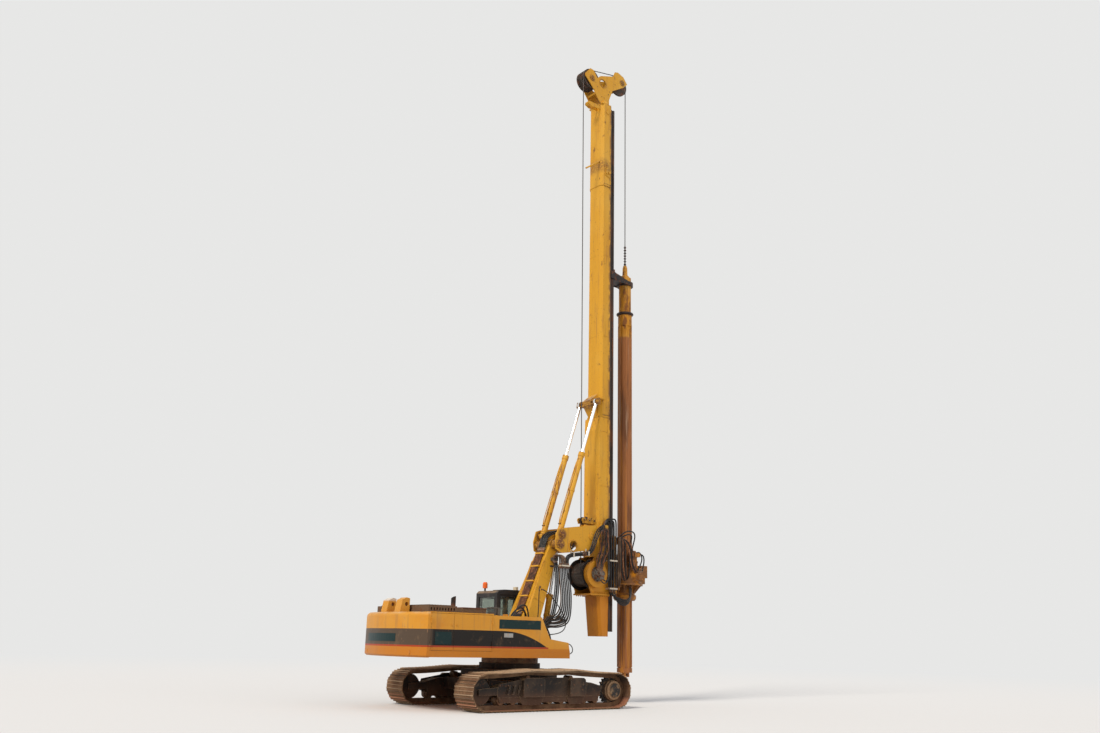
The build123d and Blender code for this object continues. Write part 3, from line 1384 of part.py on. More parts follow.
def build():
    """Make and write every node."""
    for name, side in (("right", -1), ("left", 1)):
        write(f"track_{name}", track(side))
        write(f"track_frame_{name}", track_frame(side))
    write("rollers", both_sides(lambda side: bottom_rollers(side) + carrier_rollers(side)))
    write("idlers", both_sides(idler))
    write("sprockets", both_sides(sprocket))
    write("carbody", carbody())
    write("slewing_ring", slewing_ring())

    write("deck", deck())
    write("counterweight", counterweight() + lifting_lugs())
    for name, x0, x1, side, toward in service_doors:
        write(name, service_door(x0, x1, side, toward))
    write("bay_walls", bay_walls())
    write("engine", engine())
    write("hood", hood())
    write("exhaust", exhaust())
    write("tank", tank())
    write("step_box", step_box())
    write("left_box", left_box())
    write("handrails", handrails())
    write("cab_shell", cab_shell())
    write("cab_glass", cab_glass())
    write("cab_door", cab_door())
    write("door_glass", door_glass())
    write("seat", seat())
    write("beacon", beacon())

    write("boom", boom() + lift_eye_pins())
    write("boom_hoses", boom_hoses())
    write("lift_barrels", pair(lambda y: cylinder_barrel(lift_foot, lift_eye, lift_gland, y), lift_y))
    write("lift_rods", pair(lambda y: cylinder_rod(lift_foot, lift_eye, y), lift_y))
    write("cradle", cradle())
    write("raise_barrels", pair(lambda y: cylinder_barrel(raise_foot, raise_eye, raise_gland, y), raise_y))
    write("raise_rods", pair(lambda y: cylinder_rod(raise_foot, raise_eye, y), raise_y))

    write("mast_lower", mast_lower())
    write("mast_upper", mast_upper())
    write("mast_foot", mast_foot())
    write("mast_rails", mast_rails())
    write("winch_frame", winch_frame())
    write("winch_motor", winch_motor())
    write("winch_drum", winch_drum())
    write("mast_head", mast_head())
    write("front_sheave", front_sheave())
    write("rear_sheaves", rear_sheaves())
    write("winch_rope", winch_rope())
    write("kelly_rope", kelly_rope())
    write("kelly_guide", kelly_guide())
    write("swivel", swivel())
    write("rotary_carriage", rotary_carriage())
    write("rotary_body", rotary_body())
    write("rotary_motors", rotary_motors())
    write("crowd_barrel", crowd_barrel())
    write("crowd_rod", crowd_rod())
    write("kelly_bar", kelly_bar())
    write("kelly_stub", kelly_stub())


build()
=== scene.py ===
"""A rotary drilling rig on a crawler excavator base, dressed for a studio picture. Metres."""
import math
import random

import bmesh
import bpy
from mathutils import Matrix, Vector


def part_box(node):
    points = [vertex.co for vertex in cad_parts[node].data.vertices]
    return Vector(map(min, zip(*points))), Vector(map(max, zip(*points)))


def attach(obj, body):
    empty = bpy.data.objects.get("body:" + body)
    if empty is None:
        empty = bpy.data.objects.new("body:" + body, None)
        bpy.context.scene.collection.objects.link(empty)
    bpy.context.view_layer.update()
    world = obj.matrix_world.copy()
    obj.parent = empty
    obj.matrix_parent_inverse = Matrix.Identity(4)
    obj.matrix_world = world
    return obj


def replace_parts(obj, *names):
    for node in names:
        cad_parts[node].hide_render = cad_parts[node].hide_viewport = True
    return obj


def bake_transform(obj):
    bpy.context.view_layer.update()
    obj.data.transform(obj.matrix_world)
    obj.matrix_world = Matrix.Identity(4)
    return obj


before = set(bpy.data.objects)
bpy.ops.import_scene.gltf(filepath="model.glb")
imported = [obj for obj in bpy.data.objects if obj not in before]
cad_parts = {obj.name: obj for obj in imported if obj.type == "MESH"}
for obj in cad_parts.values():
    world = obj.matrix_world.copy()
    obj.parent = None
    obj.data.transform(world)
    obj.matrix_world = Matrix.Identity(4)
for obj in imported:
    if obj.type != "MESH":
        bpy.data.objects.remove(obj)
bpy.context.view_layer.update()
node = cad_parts

# The yard. A pale floor and a pale sky with no edge between them, the sky plain to the camera, gloss
# and glass and tinted for everything else, a broad soft key light from the right and behind the
# viewer, and the photograph's standpoint low down at the rear right.
scene = bpy.context.scene
scene.view_settings.view_transform = "Standard"

backdrop = (0.8, 0.8, 0.792)
slew_low, slew_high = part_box("slewing_ring")
slew_shift = slew_low.lerp(slew_high, 0.5).x


def place(x, y, z):
    """Point given from the slewing axis, on the ground, in the frame that everything is in."""
    return Vector((x + slew_shift, y, z))


class Value:
    """A number or a colour worked out by a node, with sums written as in plain Python."""

    def __init__(self, output):
        self.output = output

    def __add__(self, other):
        return calc("ADD", self, other)

    def __sub__(self, other):
        return calc("SUBTRACT", self, other)

    def __rsub__(self, other):
        return calc("SUBTRACT", other, self)

    def __mul__(self, other):
        return calc("MULTIPLY", self, other)

    def __truediv__(self, other):
        return calc("DIVIDE", self, other)

    def __pow__(self, other):
        return calc("POWER", self, other)

    def __abs__(self):
        return calc("ABSOLUTE", self)


def feed(value, socket):
    """Feed a socket from a value, or set its colour or number."""
    if isinstance(value, Value):
        socket.id_data.links.new(value.output, socket)
    elif isinstance(value, tuple):
        socket.default_value = (*value, 1)
    else:
        socket.default_value = value


def tree_of(*values):
    """The node tree that the values among the arguments belong to."""
    return next(value.output.id_data for value in values if isinstance(value, Value))


def calc(operation, first, second=0.0):
    """One sum on two values, or on a value and a number."""
    step = tree_of(first, second).nodes.new("ShaderNodeMath")
    step.operation = operation
    feed(first, step.inputs[0])
    feed(second, step.inputs[1])
    return Value(step.outputs[0])


def fade(value, low, high):
    """0 up to low and 1 from high on, smooth between."""
    ramp = tree_of(value).nodes.new("ShaderNodeMapRange")
    ramp.interpolation_type = "SMOOTHSTEP"
    ramp.inputs["From Min"].default_value = low
    ramp.inputs["From Max"].default_value = high
    feed(value, ramp.inputs["Value"])
    return Value(ramp.outputs["Result"])


def over(factor, top, under):
    """Colour top laid over colour under."""
    mix = tree_of(factor, top, under).nodes.new("ShaderNodeMix")
    mix.data_type = "RGBA"
    feed(factor, mix.inputs["Factor"])
    feed(under, mix.inputs["A"])
    feed(top, mix.inputs["B"])
    return Value(mix.outputs["Result"])


world = bpy.data.worlds.new("pale_sky")
scene.world = world
world.use_nodes = True
sky = world.node_tree
rays = sky.nodes.new("ShaderNodeLightPath")
seen = Value(rays.outputs["Is Camera Ray"])
for ray in ("Is Glossy Ray", "Is Transmission Ray"):
    seen = calc("MAXIMUM", seen, Value(rays.outputs[ray]))
feed(over(seen, backdrop, (0.52, 0.53, 0.56)), sky.nodes["Background"].inputs["Color"])

# columns: name, azimuth from the front of the view, height, strength, spread, tint
for lamp_name, azimuth, height, strength, spread, tint in (
    ("key", -75, 42, 2.42, 18, (1.0, 0.94, 0.85)),
    ("fill", 20, 28, 0.5, 60, (1.0, 0.98, 0.96)),
):
    lamp = bpy.data.lights.new(lamp_name, "SUN")
    lamp.energy, lamp.angle, lamp.color = strength, math.radians(spread), tint
    lamp_object = bpy.data.objects.new(lamp_name, lamp)
    turn, rise = math.radians(azimuth), math.radians(height)
    away = Vector((math.sin(turn) * math.cos(rise), -math.cos(turn) * math.cos(rise), math.sin(rise)))
    lamp_object.rotation_euler = away.to_track_quat("Z", "Y").to_euler()
    scene.collection.objects.link(lamp_object)

floor_half, haze_from, haze_full = 900, 8, 60
floor_mesh = bpy.data.meshes.new("floor")
corners = [(x * floor_half, y * floor_half, 0) for x, y in ((-1, -1), (1, -1), (1, 1), (-1, 1))]
floor_mesh.from_pydata(corners, [], [(0, 1, 2, 3)])
floor = bpy.data.objects.new("floor", floor_mesh)
scene.collection.objects.link(floor)
ground = bpy.data.materials.new("pale_ground")
ground.use_nodes = True
ground_tree = ground.node_tree
ground_shader = ground_tree.nodes["Principled BSDF"]
ground_shader.inputs["Base Color"].default_value = (0.76, 0.75, 0.735, 1)
ground_shader.inputs["Roughness"].default_value = 1.0
ground_shader.inputs["Specular IOR Level"].default_value = 0.0
spot = ground_tree.nodes.new("ShaderNodeTexCoord")
reach = ground_tree.nodes.new("ShaderNodeVectorMath")
reach.operation = "LENGTH"
ground_tree.links.new(spot.outputs["Object"], reach.inputs[0])
haze = ground_tree.nodes.new("ShaderNodeEmission")
haze.inputs["Color"].default_value = (*backdrop, 1)
fade_out = ground_tree.nodes.new("ShaderNodeMixShader")
feed(fade(Value(reach.outputs["Value"]), haze_from, haze_full), fade_out.inputs["Fac"])
ground_tree.links.new(ground_shader.outputs["BSDF"], fade_out.inputs[1])
ground_tree.links.new(haze.outputs["Emission"], fade_out.inputs[2])
ground_tree.links.new(fade_out.outputs["Shader"], ground_tree.nodes["Material Output"].inputs["Surface"])
floor_mesh.materials.append(ground)

viewer = place(-16.6007, -22.1767, 1.6749)
heading, pitch_up, roll = math.radians(51.3002), math.radians(15.6093), math.radians(1.2767)
ahead = Vector((
    math.cos(heading) * math.cos(pitch_up), math.sin(heading) * math.cos(pitch_up), math.sin(pitch_up)))
level = Vector((math.sin(heading), -math.cos(heading), 0))
upright = level.cross(ahead)
across = level * math.cos(roll) + upright * math.sin(roll)
above = upright * math.cos(roll) - level * math.sin(roll)
camera = bpy.data.cameras.new("standpoint")
sensor, focal_pixels, photo_pixels = 36, 984.883, 1100
camera.sensor_width = sensor
camera.lens = sensor * focal_pixels / photo_pixels
camera.clip_end = 3000
camera_object = bpy.data.objects.new("standpoint", camera)
scene.collection.objects.link(camera_object)
camera_object.matrix_world = Matrix((
    (across.x, above.x, -ahead.x, viewer.x),
    (across.y, above.y, -ahead.y, viewer.y),
    (across.z, above.z, -ahead.z, viewer.z),
    (0, 0, 0, 1),
))
scene.camera = camera_object

# Tracks. Triple-grouser steel shoes on two strands of chain, caked outside with dry pale dust, the crests
# of their bars worn pale, most of all where the loop bends round its ends. Inside the loop the upper run
# is darkened with painted shade, and the lower run is rust red.


def coordinates(tree):
    """The x, y and z of a point, in metres from the slewing axis, on the ground."""
    spot = tree.nodes.new("ShaderNodeTexCoord")
    parts = tree.nodes.new("ShaderNodeSeparateXYZ")
    tree.links.new(spot.outputs["Object"], parts.inputs[0])
    x, y, z = (Value(part) for part in parts.outputs)
    return x - slew_shift, y, z


def facing(tree):
    """The upward part of a surface's direction: 1 on top, 0 on a wall, -1 underneath."""
    shape = tree.nodes.new("ShaderNodeNewGeometry")
    parts = tree.nodes.new("ShaderNodeSeparateXYZ")
    tree.links.new(shape.outputs["Normal"], parts.inputs[0])
    return Value(parts.outputs[2])


def patches(tree, size, stretch=(1, 1, 1), detail=5):
    """Noise from 0 to 1 in patches about size metres wide, narrower along axes with more stretch."""
    spot = tree.nodes.new("ShaderNodeTexCoord")
    scaled = tree.nodes.new("ShaderNodeMapping")
    scaled.inputs["Scale"].default_value = stretch
    noise = tree.nodes.new("ShaderNodeTexNoise")
    noise.inputs["Scale"].default_value = 1 / size
    noise.inputs["Detail"].default_value = detail
    noise.inputs["Roughness"].default_value = 0.62
    tree.links.new(spot.outputs["Object"], scaled.inputs["Vector"])
    tree.links.new(scaled.outputs["Vector"], noise.inputs["Vector"])
    return Value(noise.outputs[0])


def rounded(tree, radius):
    """A surface's direction with its edges rounded off."""
    bevel = tree.nodes.new("ShaderNodeBevel")
    bevel.samples = 4
    bevel.inputs["Radius"].default_value = radius
    return bevel.outputs["Normal"]


def along_edges(tree, radius):
    """1 within about radius metres of an edge or corner, 0 on flat stretches."""
    shape = tree.nodes.new("ShaderNodeNewGeometry")
    match = tree.nodes.new("ShaderNodeVectorMath")
    match.operation = "DOT_PRODUCT"
    tree.links.new(rounded(tree, radius), match.inputs[0])
    tree.links.new(shape.outputs["Normal"], match.inputs[1])
    return fade(1.0 - Value(match.outputs["Value"]), 0.01, 0.12)


def finish(title, slot, colour, roughness, names=(), metal=0.0, edge=0.006, grain=(0.02, 0.15), gloss=0.22):
    """New material with softened edges and a fine grain, put on the CAD nodes named; returns it with its
    tree and its shader."""
    material = bpy.data.materials.new(title)
    material["slot"] = slot
    material.use_nodes = True
    tree = material.node_tree
    shader = tree.nodes["Principled BSDF"]
    shader.inputs["Metallic"].default_value = metal
    shader.inputs["Specular IOR Level"].default_value = gloss
    feed(colour, shader.inputs["Base Color"])
    feed(roughness, shader.inputs["Roughness"])
    bump = tree.nodes.new("ShaderNodeBump")
    bump.inputs["Strength"].default_value = grain[1]
    bump.inputs["Distance"].default_value = 0.01
    feed(patches(tree, grain[0]), bump.inputs["Height"])
    tree.links.new(rounded(tree, edge), bump.inputs["Normal"])
    tree.links.new(bump.outputs["Normal"], shader.inputs["Normal"])
    for name in names:
        node[name].material_slots[0].material = material
    return material, tree, shader


def weather(tree, colour, layers):
    """Lay stains over a colour. Columns: stain, patch size, noise it starts at, noise it is full at,
    strength, and where (all, top, wall or edge) and the patches' stretch, which may be left out."""
    for stain, size, low, high, strength, *others in layers:
        where, stretch = others + ["all", (1, 1, 1)][len(others):]
        amount = fade(patches(tree, size, stretch), low, high)
        if where == "top":
            amount = amount * fade(facing(tree), 0.3, 0.9)
        elif where == "wall":
            amount = amount * fade(1.0 - abs(facing(tree)), 0.3, 0.8)
        elif where == "edge":
            amount = amount * along_edges(tree, 0.012)
        colour = over(amount * strength, stain, colour)
    return colour


def paint(shader, base, layers=()):
    """Give a shader a base colour under stains."""
    feed(weather(shader.id_data, base, layers), shader.inputs["Base Color"])


dust = (0.36, 0.225, 0.115)

_, shoe_tree, shoe_shader = finish(
    "dusty_shoes", "shoe_steel", dust, 0.85, ["track_right", "track_left"], edge=0.004, grain=(0.03, 0.5))
shoe_x, _, shoe_z = coordinates(shoe_tree)
inward = facing(shoe_tree) * (shoe_z - 0.5)
loop_low, loop_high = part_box("track_right")
loop_radius = 0.462
loop_half = (loop_high.x - loop_low.x) / 2 - loop_radius
loop_middle = (loop_high.x + loop_low.x) / 2 - slew_shift
past_end = calc("MAXIMUM", abs(shoe_x - loop_middle) - loop_half, 0.0)
from_axle = calc("SQRT", past_end ** 2 + (shoe_z - loop_radius) ** 2)
crest = fade(from_axle, loop_radius - 0.022, loop_radius - 0.008)
shoe_colour = weather(shoe_tree, (0.14, 0.073, 0.038), [
    ((0.27, 0.16, 0.085), 0.5, 0.42, 0.62, 0.6),
    ((0.12, 0.065, 0.038), 0.16, 0.5, 0.66, 0.75, "all", (1, 2.5, 1)),
    ((0.08, 0.045, 0.03), 0.05, 0.56, 0.7, 0.6),
    ((0.46, 0.32, 0.18), 0.1, 0.35, 0.6, 0.6, "edge"),
])
worn_crest = crest * fade(patches(shoe_tree, 0.12), 0.2, 0.42)
crest_strength = fade(past_end, 0.0, 0.2) * 0.6 + 0.35
shoe_colour = over(worn_crest * crest_strength, (0.74, 0.54, 0.35), shoe_colour)
# Painted shade: inward faces of the upper run are painted near black; those of the lower run get rust red.
shadowed = fade(inward * -1.0, 0.04, 0.12)
inner_shade_and_rust = over(fade(shoe_z, 0.2, 0.35), (0.05, 0.033, 0.024), (0.3, 0.125, 0.07))
paint(shoe_shader, over(shadowed * 0.9, inner_shade_and_rust, shoe_colour))

# Undercarriage. Welded track frames, carbody and idlers in black paint under dried earth, rollers and
# slewing ring worn brown, and final drives whose cover bolts stand in a dusty ring.


def near(tree, x, z, inner, outer):
    """1 within inner metres of the sideways line at x, z, and 0 beyond outer."""
    point_x, _, point_z = coordinates(tree)
    apart = calc("SQRT", (point_x - x) ** 2 + (point_z - z) ** 2)
    return 1.0 - fade(apart, inner, outer)


def piece(name, mesh, material, body):
    """Add a mesh as an object that moves with a CAD body; bmesh data is written out first."""
    if isinstance(mesh, bmesh.types.BMesh):
        data = bpy.data.meshes.new(name)
        mesh.to_mesh(data)
        mesh.free()
        mesh = data
    if not mesh.materials:
        mesh.materials.append(material)
    added = bpy.data.objects.new(name, mesh)
    scene.collection.objects.link(added)
    if body:
        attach(added, body)
    return added


def add_rod(mesh, start, end, radius, sides=12, end_radius=None):
    """Add a rod between two points to a bmesh, tapered where a second radius is given."""
    line = Vector(end) - Vector(start)
    turn = line.to_track_quat("Z", "Y").to_matrix().to_4x4()
    middle = Matrix.Translation((Vector(start) + Vector(end)) / 2)
    far_radius = radius if end_radius is None else end_radius
    bmesh.ops.create_cone(mesh, cap_ends=True, segments=sides, radius1=radius, radius2=far_radius,
                          depth=line.length, matrix=middle @ turn)


def add_bolt(mesh, spot, outward, size):
    """Add a washer and a six-sided bolt head, seated on a surface at spot."""
    spot, outward = Vector(spot), Vector(outward)
    add_rod(mesh, spot - outward * 0.002, spot + outward * size * 0.2, size * 0.95, 14)
    add_rod(mesh, spot, spot + outward * size * 0.75, size * 0.72, 6)


def ring_of_bolts(mesh, centre, outward, radius, count, size, first=0.0):
    """Add bolts evenly round a circle that faces outward."""
    outward = Vector(outward)
    side = outward.orthogonal().normalized()
    up = outward.cross(side)
    for i in range(count):
        turn = first + 2 * math.pi * i / count
        away = side * math.cos(turn) + up * math.sin(turn)
        add_bolt(mesh, Vector(centre) + away * radius, outward, size)


def painted(title, slot, flat, roughness, base, layers, names=(), **others):
    """New material of a base colour under stains, put on the CAD nodes named."""
    material, _, shader = finish(title, slot, flat, roughness, names, **others)
    paint(shader, base, layers)
    return material


rust = (0.16, 0.055, 0.02)
dark_rust = (0.055, 0.026, 0.016)
soot = (0.02, 0.018, 0.017)

_, grime_tree, grime_shader = finish(
    "base_paint", "base_paint", soot, 0.7, ["track_frame_right", "track_frame_left", "carbody", "idlers"],
    grain=(0.03, 0.35))
mud_line = 1.0 - fade(coordinates(grime_tree)[2], 0.25, 0.55)
paint(grime_shader, over(mud_line * 0.6, (0.13, 0.06, 0.032), (0.02, 0.016, 0.014)), [
    ((0.1, 0.062, 0.038), 0.5, 0.42, 0.75, 0.7, "all", (1, 1, 0.5)),
    ((0.2, 0.125, 0.07), 0.12, 0.56, 0.74, 0.5),
    (dust, 0.25, 0.3, 0.55, 0.85, "top"),
    ((0.42, 0.28, 0.165), 0.09, 0.36, 0.54, 0.85, "edge"),
    (rust, 0.07, 0.6, 0.7, 0.6),
])

painted("worn_rollers", "roller_steel", rust, 0.6, (0.2, 0.1, 0.055), [
    (dark_rust, 0.2, 0.45, 0.62, 0.8),
    (dust, 0.1, 0.45, 0.65, 0.6),
], ["rollers", "slewing_ring"], metal=0.2, grain=(0.03, 0.3))

_, drive_tree, drive_shader = finish(
    "final_drives", "black_paint", soot, 0.6, ["sprockets"], grain=(0.03, 0.3))
drive_low, drive_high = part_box("sprockets")
drive_x = (drive_low.x + drive_high.x) / 2 - slew_shift
drive_z = (drive_low.z + drive_high.z) / 2
drive_ring = near(drive_tree, drive_x, drive_z, 0.25, 0.27) - near(drive_tree, drive_x, drive_z, 0.17, 0.19)
paint(drive_shader, over(drive_ring * 0.85, (0.36, 0.22, 0.12), (0.03, 0.027, 0.025)), [
    (dust, 0.12, 0.5, 0.66, 0.6),
    (rust, 0.06, 0.55, 0.68, 0.6),
])

bolt_steel = painted("bolt_steel", "roller_steel", (0.1, 0.07, 0.05), 0.5, (0.14, 0.1, 0.075), [
    (rust, 0.05, 0.45, 0.6, 0.8),
], metal=0.6, edge=0.002, grain=(0.01, 0.3))

for side, suffix in ((-1, "right"), (1, "left")):
    bolts = bmesh.new()
    drive_face = drive_low.y if side < 0 else drive_high.y
    ring_of_bolts(bolts, (drive_x + slew_shift, drive_face, drive_z), (0, side, 0), 0.075, 8, 0.012)
    frame_low, frame_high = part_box("track_frame_" + suffix)
    frame_face = frame_low.y if side < 0 else frame_high.y
    for x in (-1.7, -1.45, 0.66, 0.98, -0.86, -0.42):
        add_bolt(bolts, (x + slew_shift, frame_face, 0.62), (0, side, 0), 0.02)
    piece("base_bolts_" + suffix, bolts, bolt_steel, "base")

# House. Pressed and cast panels in yellow enamel, with a black side band that ends in a swept arc,
# a thin red line under it, blank teal boards and a ribbed cover and a thin dark rail behind the cab.
line_bottom, band_low, band_high, soft = 1.49, 1.53, 1.91, 0.002
band_bend, band_tip, house_half = -1.35, 0.1, 1.5
yellow = (0.6, 0.262, 0.026)

enamel, enamel_tree, enamel_shader = finish("house_enamel", "house_paint", yellow, 0.38, [
    "deck", "counterweight", "right_rear_door", "right_front_door", "left_rear_door", "left_front_door",
    "bay_walls", "tank", "step_box", "left_box"])
side_x, side_y, side_z = coordinates(enamel_tree)
sweep = calc("MAXIMUM", (side_x - band_bend) / (band_tip - band_bend), 0.0)
band_edge = band_high - sweep ** 2 * (band_high - band_low + 0.02)
above_line = fade(side_z, band_low - soft, band_low + soft)
in_band = above_line * fade(band_edge - side_z, -0.003, 0.003)
before_tip = calc("LESS_THAN", side_x, band_tip + 0.02)
in_line = fade(side_z, line_bottom - soft, line_bottom + soft) * (1.0 - above_line) * before_tip
on_tail = 1.0 - fade(side_x, -3.5, -3.4)
faded = weather(enamel_tree, yellow, [
    ((0.64, 0.33, 0.06), 1.2, 0.45, 0.7, 0.6),
    ((0.55, 0.19, 0.012), 0.9, 0.5, 0.72, 0.55, "wall"),
    ((0.56, 0.37, 0.19), 0.5, 0.35, 0.62, 0.75, "top"),
    ((0.36, 0.17, 0.05), 0.12, 0.54, 0.7, 0.5, "wall", (1, 1, 0.05)),
])
low_paint = fade(1.5 - side_z, 0.0, 0.02)
faded = over(low_paint * 0.75, (0.46, 0.14, 0.01), faded)
band_paint = over(on_tail, (0.08, 0.052, 0.033), (0.01, 0.007, 0.005))
faded = over(in_band, band_paint, faded)
faded = over(in_line * 0.9, (0.32, 0.018, 0.01), faded)
lug_dust = fade(side_z, 2.56, 2.62) * (on_tail * fade(side_y, 0.1, 0.2))
faded = over(lug_dust * 0.85, (0.66, 0.6, 0.52), faded)
paint(enamel_shader, faded, [
    ((0.3, 0.16, 0.08), 0.06, 0.62, 0.72, 0.6, "wall", (1, 1, 0.3)),
    (rust, 0.05, 0.5, 0.66, 0.6, "edge"),
    (dust, 0.3, 0.55, 0.78, 0.2),
])
feed(patches(enamel_tree, 0.3) * 0.3 + 0.28, enamel_shader.inputs["Roughness"])

grille = painted("hood_grille", "black_paint", (0.1, 0.085, 0.07), 0.75, (0.14, 0.085, 0.05), [
    ((0.36, 0.24, 0.14), 0.3, 0.4, 0.62, 0.8, "top"),
    (rust, 0.2, 0.52, 0.7, 0.7),
    (soot, 0.05, 0.55, 0.7, 0.6),
], ["hood"], grain=(0.01, 0.5))

_, burnt_tree, burnt_shader = finish(
    "burnt_pipe", "engine_iron", soot, 0.8, ["exhaust"], metal=0.2, grain=(0.02, 0.4))
pipe_foot = 1.0 - fade(coordinates(burnt_tree)[2], 2.42, 2.62)
paint(burnt_shader, over(pipe_foot, (0.3, 0.13, 0.07), (0.03, 0.025, 0.022)), [
    (rust, 0.08, 0.5, 0.66, 0.8, "all", (1, 1, 0.4)),
])

red_oxide = painted("walkway_oxide", "base_paint", rust, 0.7, (0.17, 0.062, 0.038), [
    (dust, 0.3, 0.4, 0.62, 0.7, "top"),
    (dark_rust, 0.1, 0.5, 0.65, 0.7),
], grain=(0.02, 0.4))

iron = painted("engine_iron", "engine_iron", (0.1, 0.095, 0.085), 0.6, (0.12, 0.11, 0.095), [
    (soot, 0.2, 0.45, 0.62, 0.8),
    (rust, 0.08, 0.55, 0.7, 0.6),
], ["engine"], metal=0.3, grain=(0.02, 0.5))


def add_block(mesh, low, high, round_by=0.004):
    """Add a block between two corners, its edges bevelled."""
    low, high = Vector(low), Vector(high)
    size = high - low
    shape = Matrix.Translation((low + high) / 2) @ Matrix.Diagonal((*size, 1))
    made = bmesh.ops.create_cube(mesh, size=1, matrix=shape)
    edges = list({edge for corner in made["verts"] for edge in corner.link_edges})
    width = min(round_by, min(size) * 0.45)
    bmesh.ops.bevel(mesh, geom=edges, offset=width, segments=2, profile=0.6, affect="EDGES")


def blocks(*rows):
    """New mesh of blocks. Columns: lowest x, y, z and highest x, y, z from the slewing axis, rounding."""
    mesh = bmesh.new()
    for *corners, round_by in rows:
        add_block(mesh, place(*corners[:3]), place(*corners[3:]), round_by)
    return mesh


teal = painted("teal_board", "black_paint", (0.004, 0.04, 0.045), 0.35, (0.002, 0.019, 0.019), [
    (dust, 0.25, 0.55, 0.8, 0.18),
    ((0.05, 0.07, 0.065), 0.05, 0.6, 0.72, 0.3),
], edge=0.002, grain=(0.05, 0.05))
pale_board = painted("pale_board", "house_paint", (0.3, 0.3, 0.3), 0.5, (0.33, 0.33, 0.32), [
    (dust, 0.1, 0.45, 0.65, 0.5),
], edge=0.002, grain=(0.05, 0.05))

tank_low, tank_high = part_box("tank")
wall_y = tank_low.y
# columns: name, material, body, lowest x and z, highest x and z, on the right-hand side
for title, board_finish, body, x0, z0, x1, z1 in (
    ("tank_board", teal, "house", -1.48, 1.965, -0.15, 2.19),
    ("door_board", teal, "right_rear_door", -3.37, 1.56, -2.9, 1.85),
    ("number_board", pale_board, "house", -1.32, 1.755, -1.04, 1.855),
):
    piece(title, blocks((x0, wall_y - 0.006, z0, x1, wall_y + 0.001, z1, 0.002)), board_finish, body)

tail_radius = -(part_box("counterweight")[0].x - slew_shift)
board_section = ((-0.004, 1.605), (0.006, 1.605), (0.006, 1.795), (-0.004, 1.795))
board = bmesh.new()
rows = []
for i in range(13):
    y = -0.5 + 1.5 * i / 12
    x = -math.sqrt(tail_radius ** 2 - y ** 2)
    rows.append([board.verts.new(place(x - off, y, z)) for off, z in board_section])
for one, two in zip(rows, rows[1:]):
    for k in range(4):
        board.faces.new((one[k], two[k], two[(k + 1) % 4], one[(k + 1) % 4]))
board.faces.new(rows[0])
board.faces.new(list(reversed(rows[-1])))
bmesh.ops.recalc_face_normals(board, faces=board.faces[:])
piece("tail_board", board, teal, "house")

cover = blocks((-2.41, -1.2, 2.317, -1.68, -0.52, 2.44, 0.012))
for x in (-2.3, -2.05, -1.8):
    add_bolt(cover, place(x, -1.2, 2.37), (0, -1, 0), 0.012)
piece("pump_cover", cover, grille, "house")
piece("pump_cover_lip", blocks((-2.41, -1.215, 2.436, -1.68, -0.505, 2.456, 0.006)), red_oxide, "house")

rail_post = blocks(
    (-1.32, -1.23, 2.271, -1.27, -1.18, 2.47, 0.006), (-1.5, -1.15, 2.271, -1.36, -1.02, 2.38, 0.01))
add_rod(rail_post, place(-1.675, -1.205, 2.445), place(-1.62, -1.205, 2.472), 0.012, 12)
add_rod(rail_post, place(-1.625, -1.205, 2.472), place(-1.2, -1.205, 2.472), 0.012, 12)
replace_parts(piece("walkway_rail", rail_post, iron, "house"), "handrails")

for body, side in (
        ("right_rear_door", -1), ("right_front_door", -1), ("left_rear_door", 1), ("left_front_door", 1)):
    low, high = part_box(body)
    x = (low.x + 0.07) if body.endswith("front_door") else (high.x - 0.07)
    face = side * house_half
    latch = bmesh.new()
    add_block(latch, (x - 0.02, face - side * 0.002, 1.99), (x + 0.02, face + side * 0.008, 2.04))
    add_rod(latch, (x, face, 2.015), (x, face + side * 0.014, 2.015), 0.01, 14)
    piece(body + "_latch", latch, enamel, body)

caps = bmesh.new()
for y in (-1.0, 1.0):
    x = -math.sqrt(tail_radius ** 2 - y ** 2)
    add_rod(caps, place(x - 0.004, y, 1.36), place(x + 0.03, y, 1.36), 0.05, 20)
for x, y in ((-0.5, -1.32), (-0.5, -0.86), (-1.45, -1.32), (-1.45, -0.86)):
    add_rod(caps, place(x, y, tank_high.z - 0.002), place(x, y, tank_high.z + 0.012), 0.03, 16)
add_rod(caps, place(-1.0, -1.1, 2.278), place(-1.0, -1.1, 2.33), 0.07, 24)
piece("house_caps", caps, enamel, "house")

# Cab. A black pressed shell with tinted panes in black rubber, a cloth seat between its lever
# boxes, a wiper and a mirror, and on the roof an orange beacon and two cream work lamps.
painted("cab_paint", "black_paint", soot, 0.42, (0.022, 0.02, 0.021), [
    ((0.13, 0.105, 0.085), 0.4, 0.45, 0.7, 0.45),
    (dust, 0.3, 0.3, 0.6, 0.7, "top"),
    ((0.12, 0.07, 0.05), 0.05, 0.5, 0.66, 0.5, "edge"),
], ["cab_shell", "cab_door"])

_, pane_tree, pane_shader = finish(
    "tinted_pane", "window_glass", (0.5, 0.53, 0.48), 0.04, ["cab_glass", "door_glass"], edge=0.001,
    grain=(0.4, 0.0), gloss=0.5)
pane_shader.inputs["Transmission Weight"].default_value = 0.94
pane_shader.inputs["IOR"].default_value = 1.35
paint(pane_shader, (0.47, 0.52, 0.47), [
    ((0.5, 0.46, 0.4), 0.4, 0.5, 0.8, 0.35),
])
feed(fade(patches(pane_tree, 0.3), 0.45, 0.8) * 0.3, pane_shader.inputs["Roughness"])


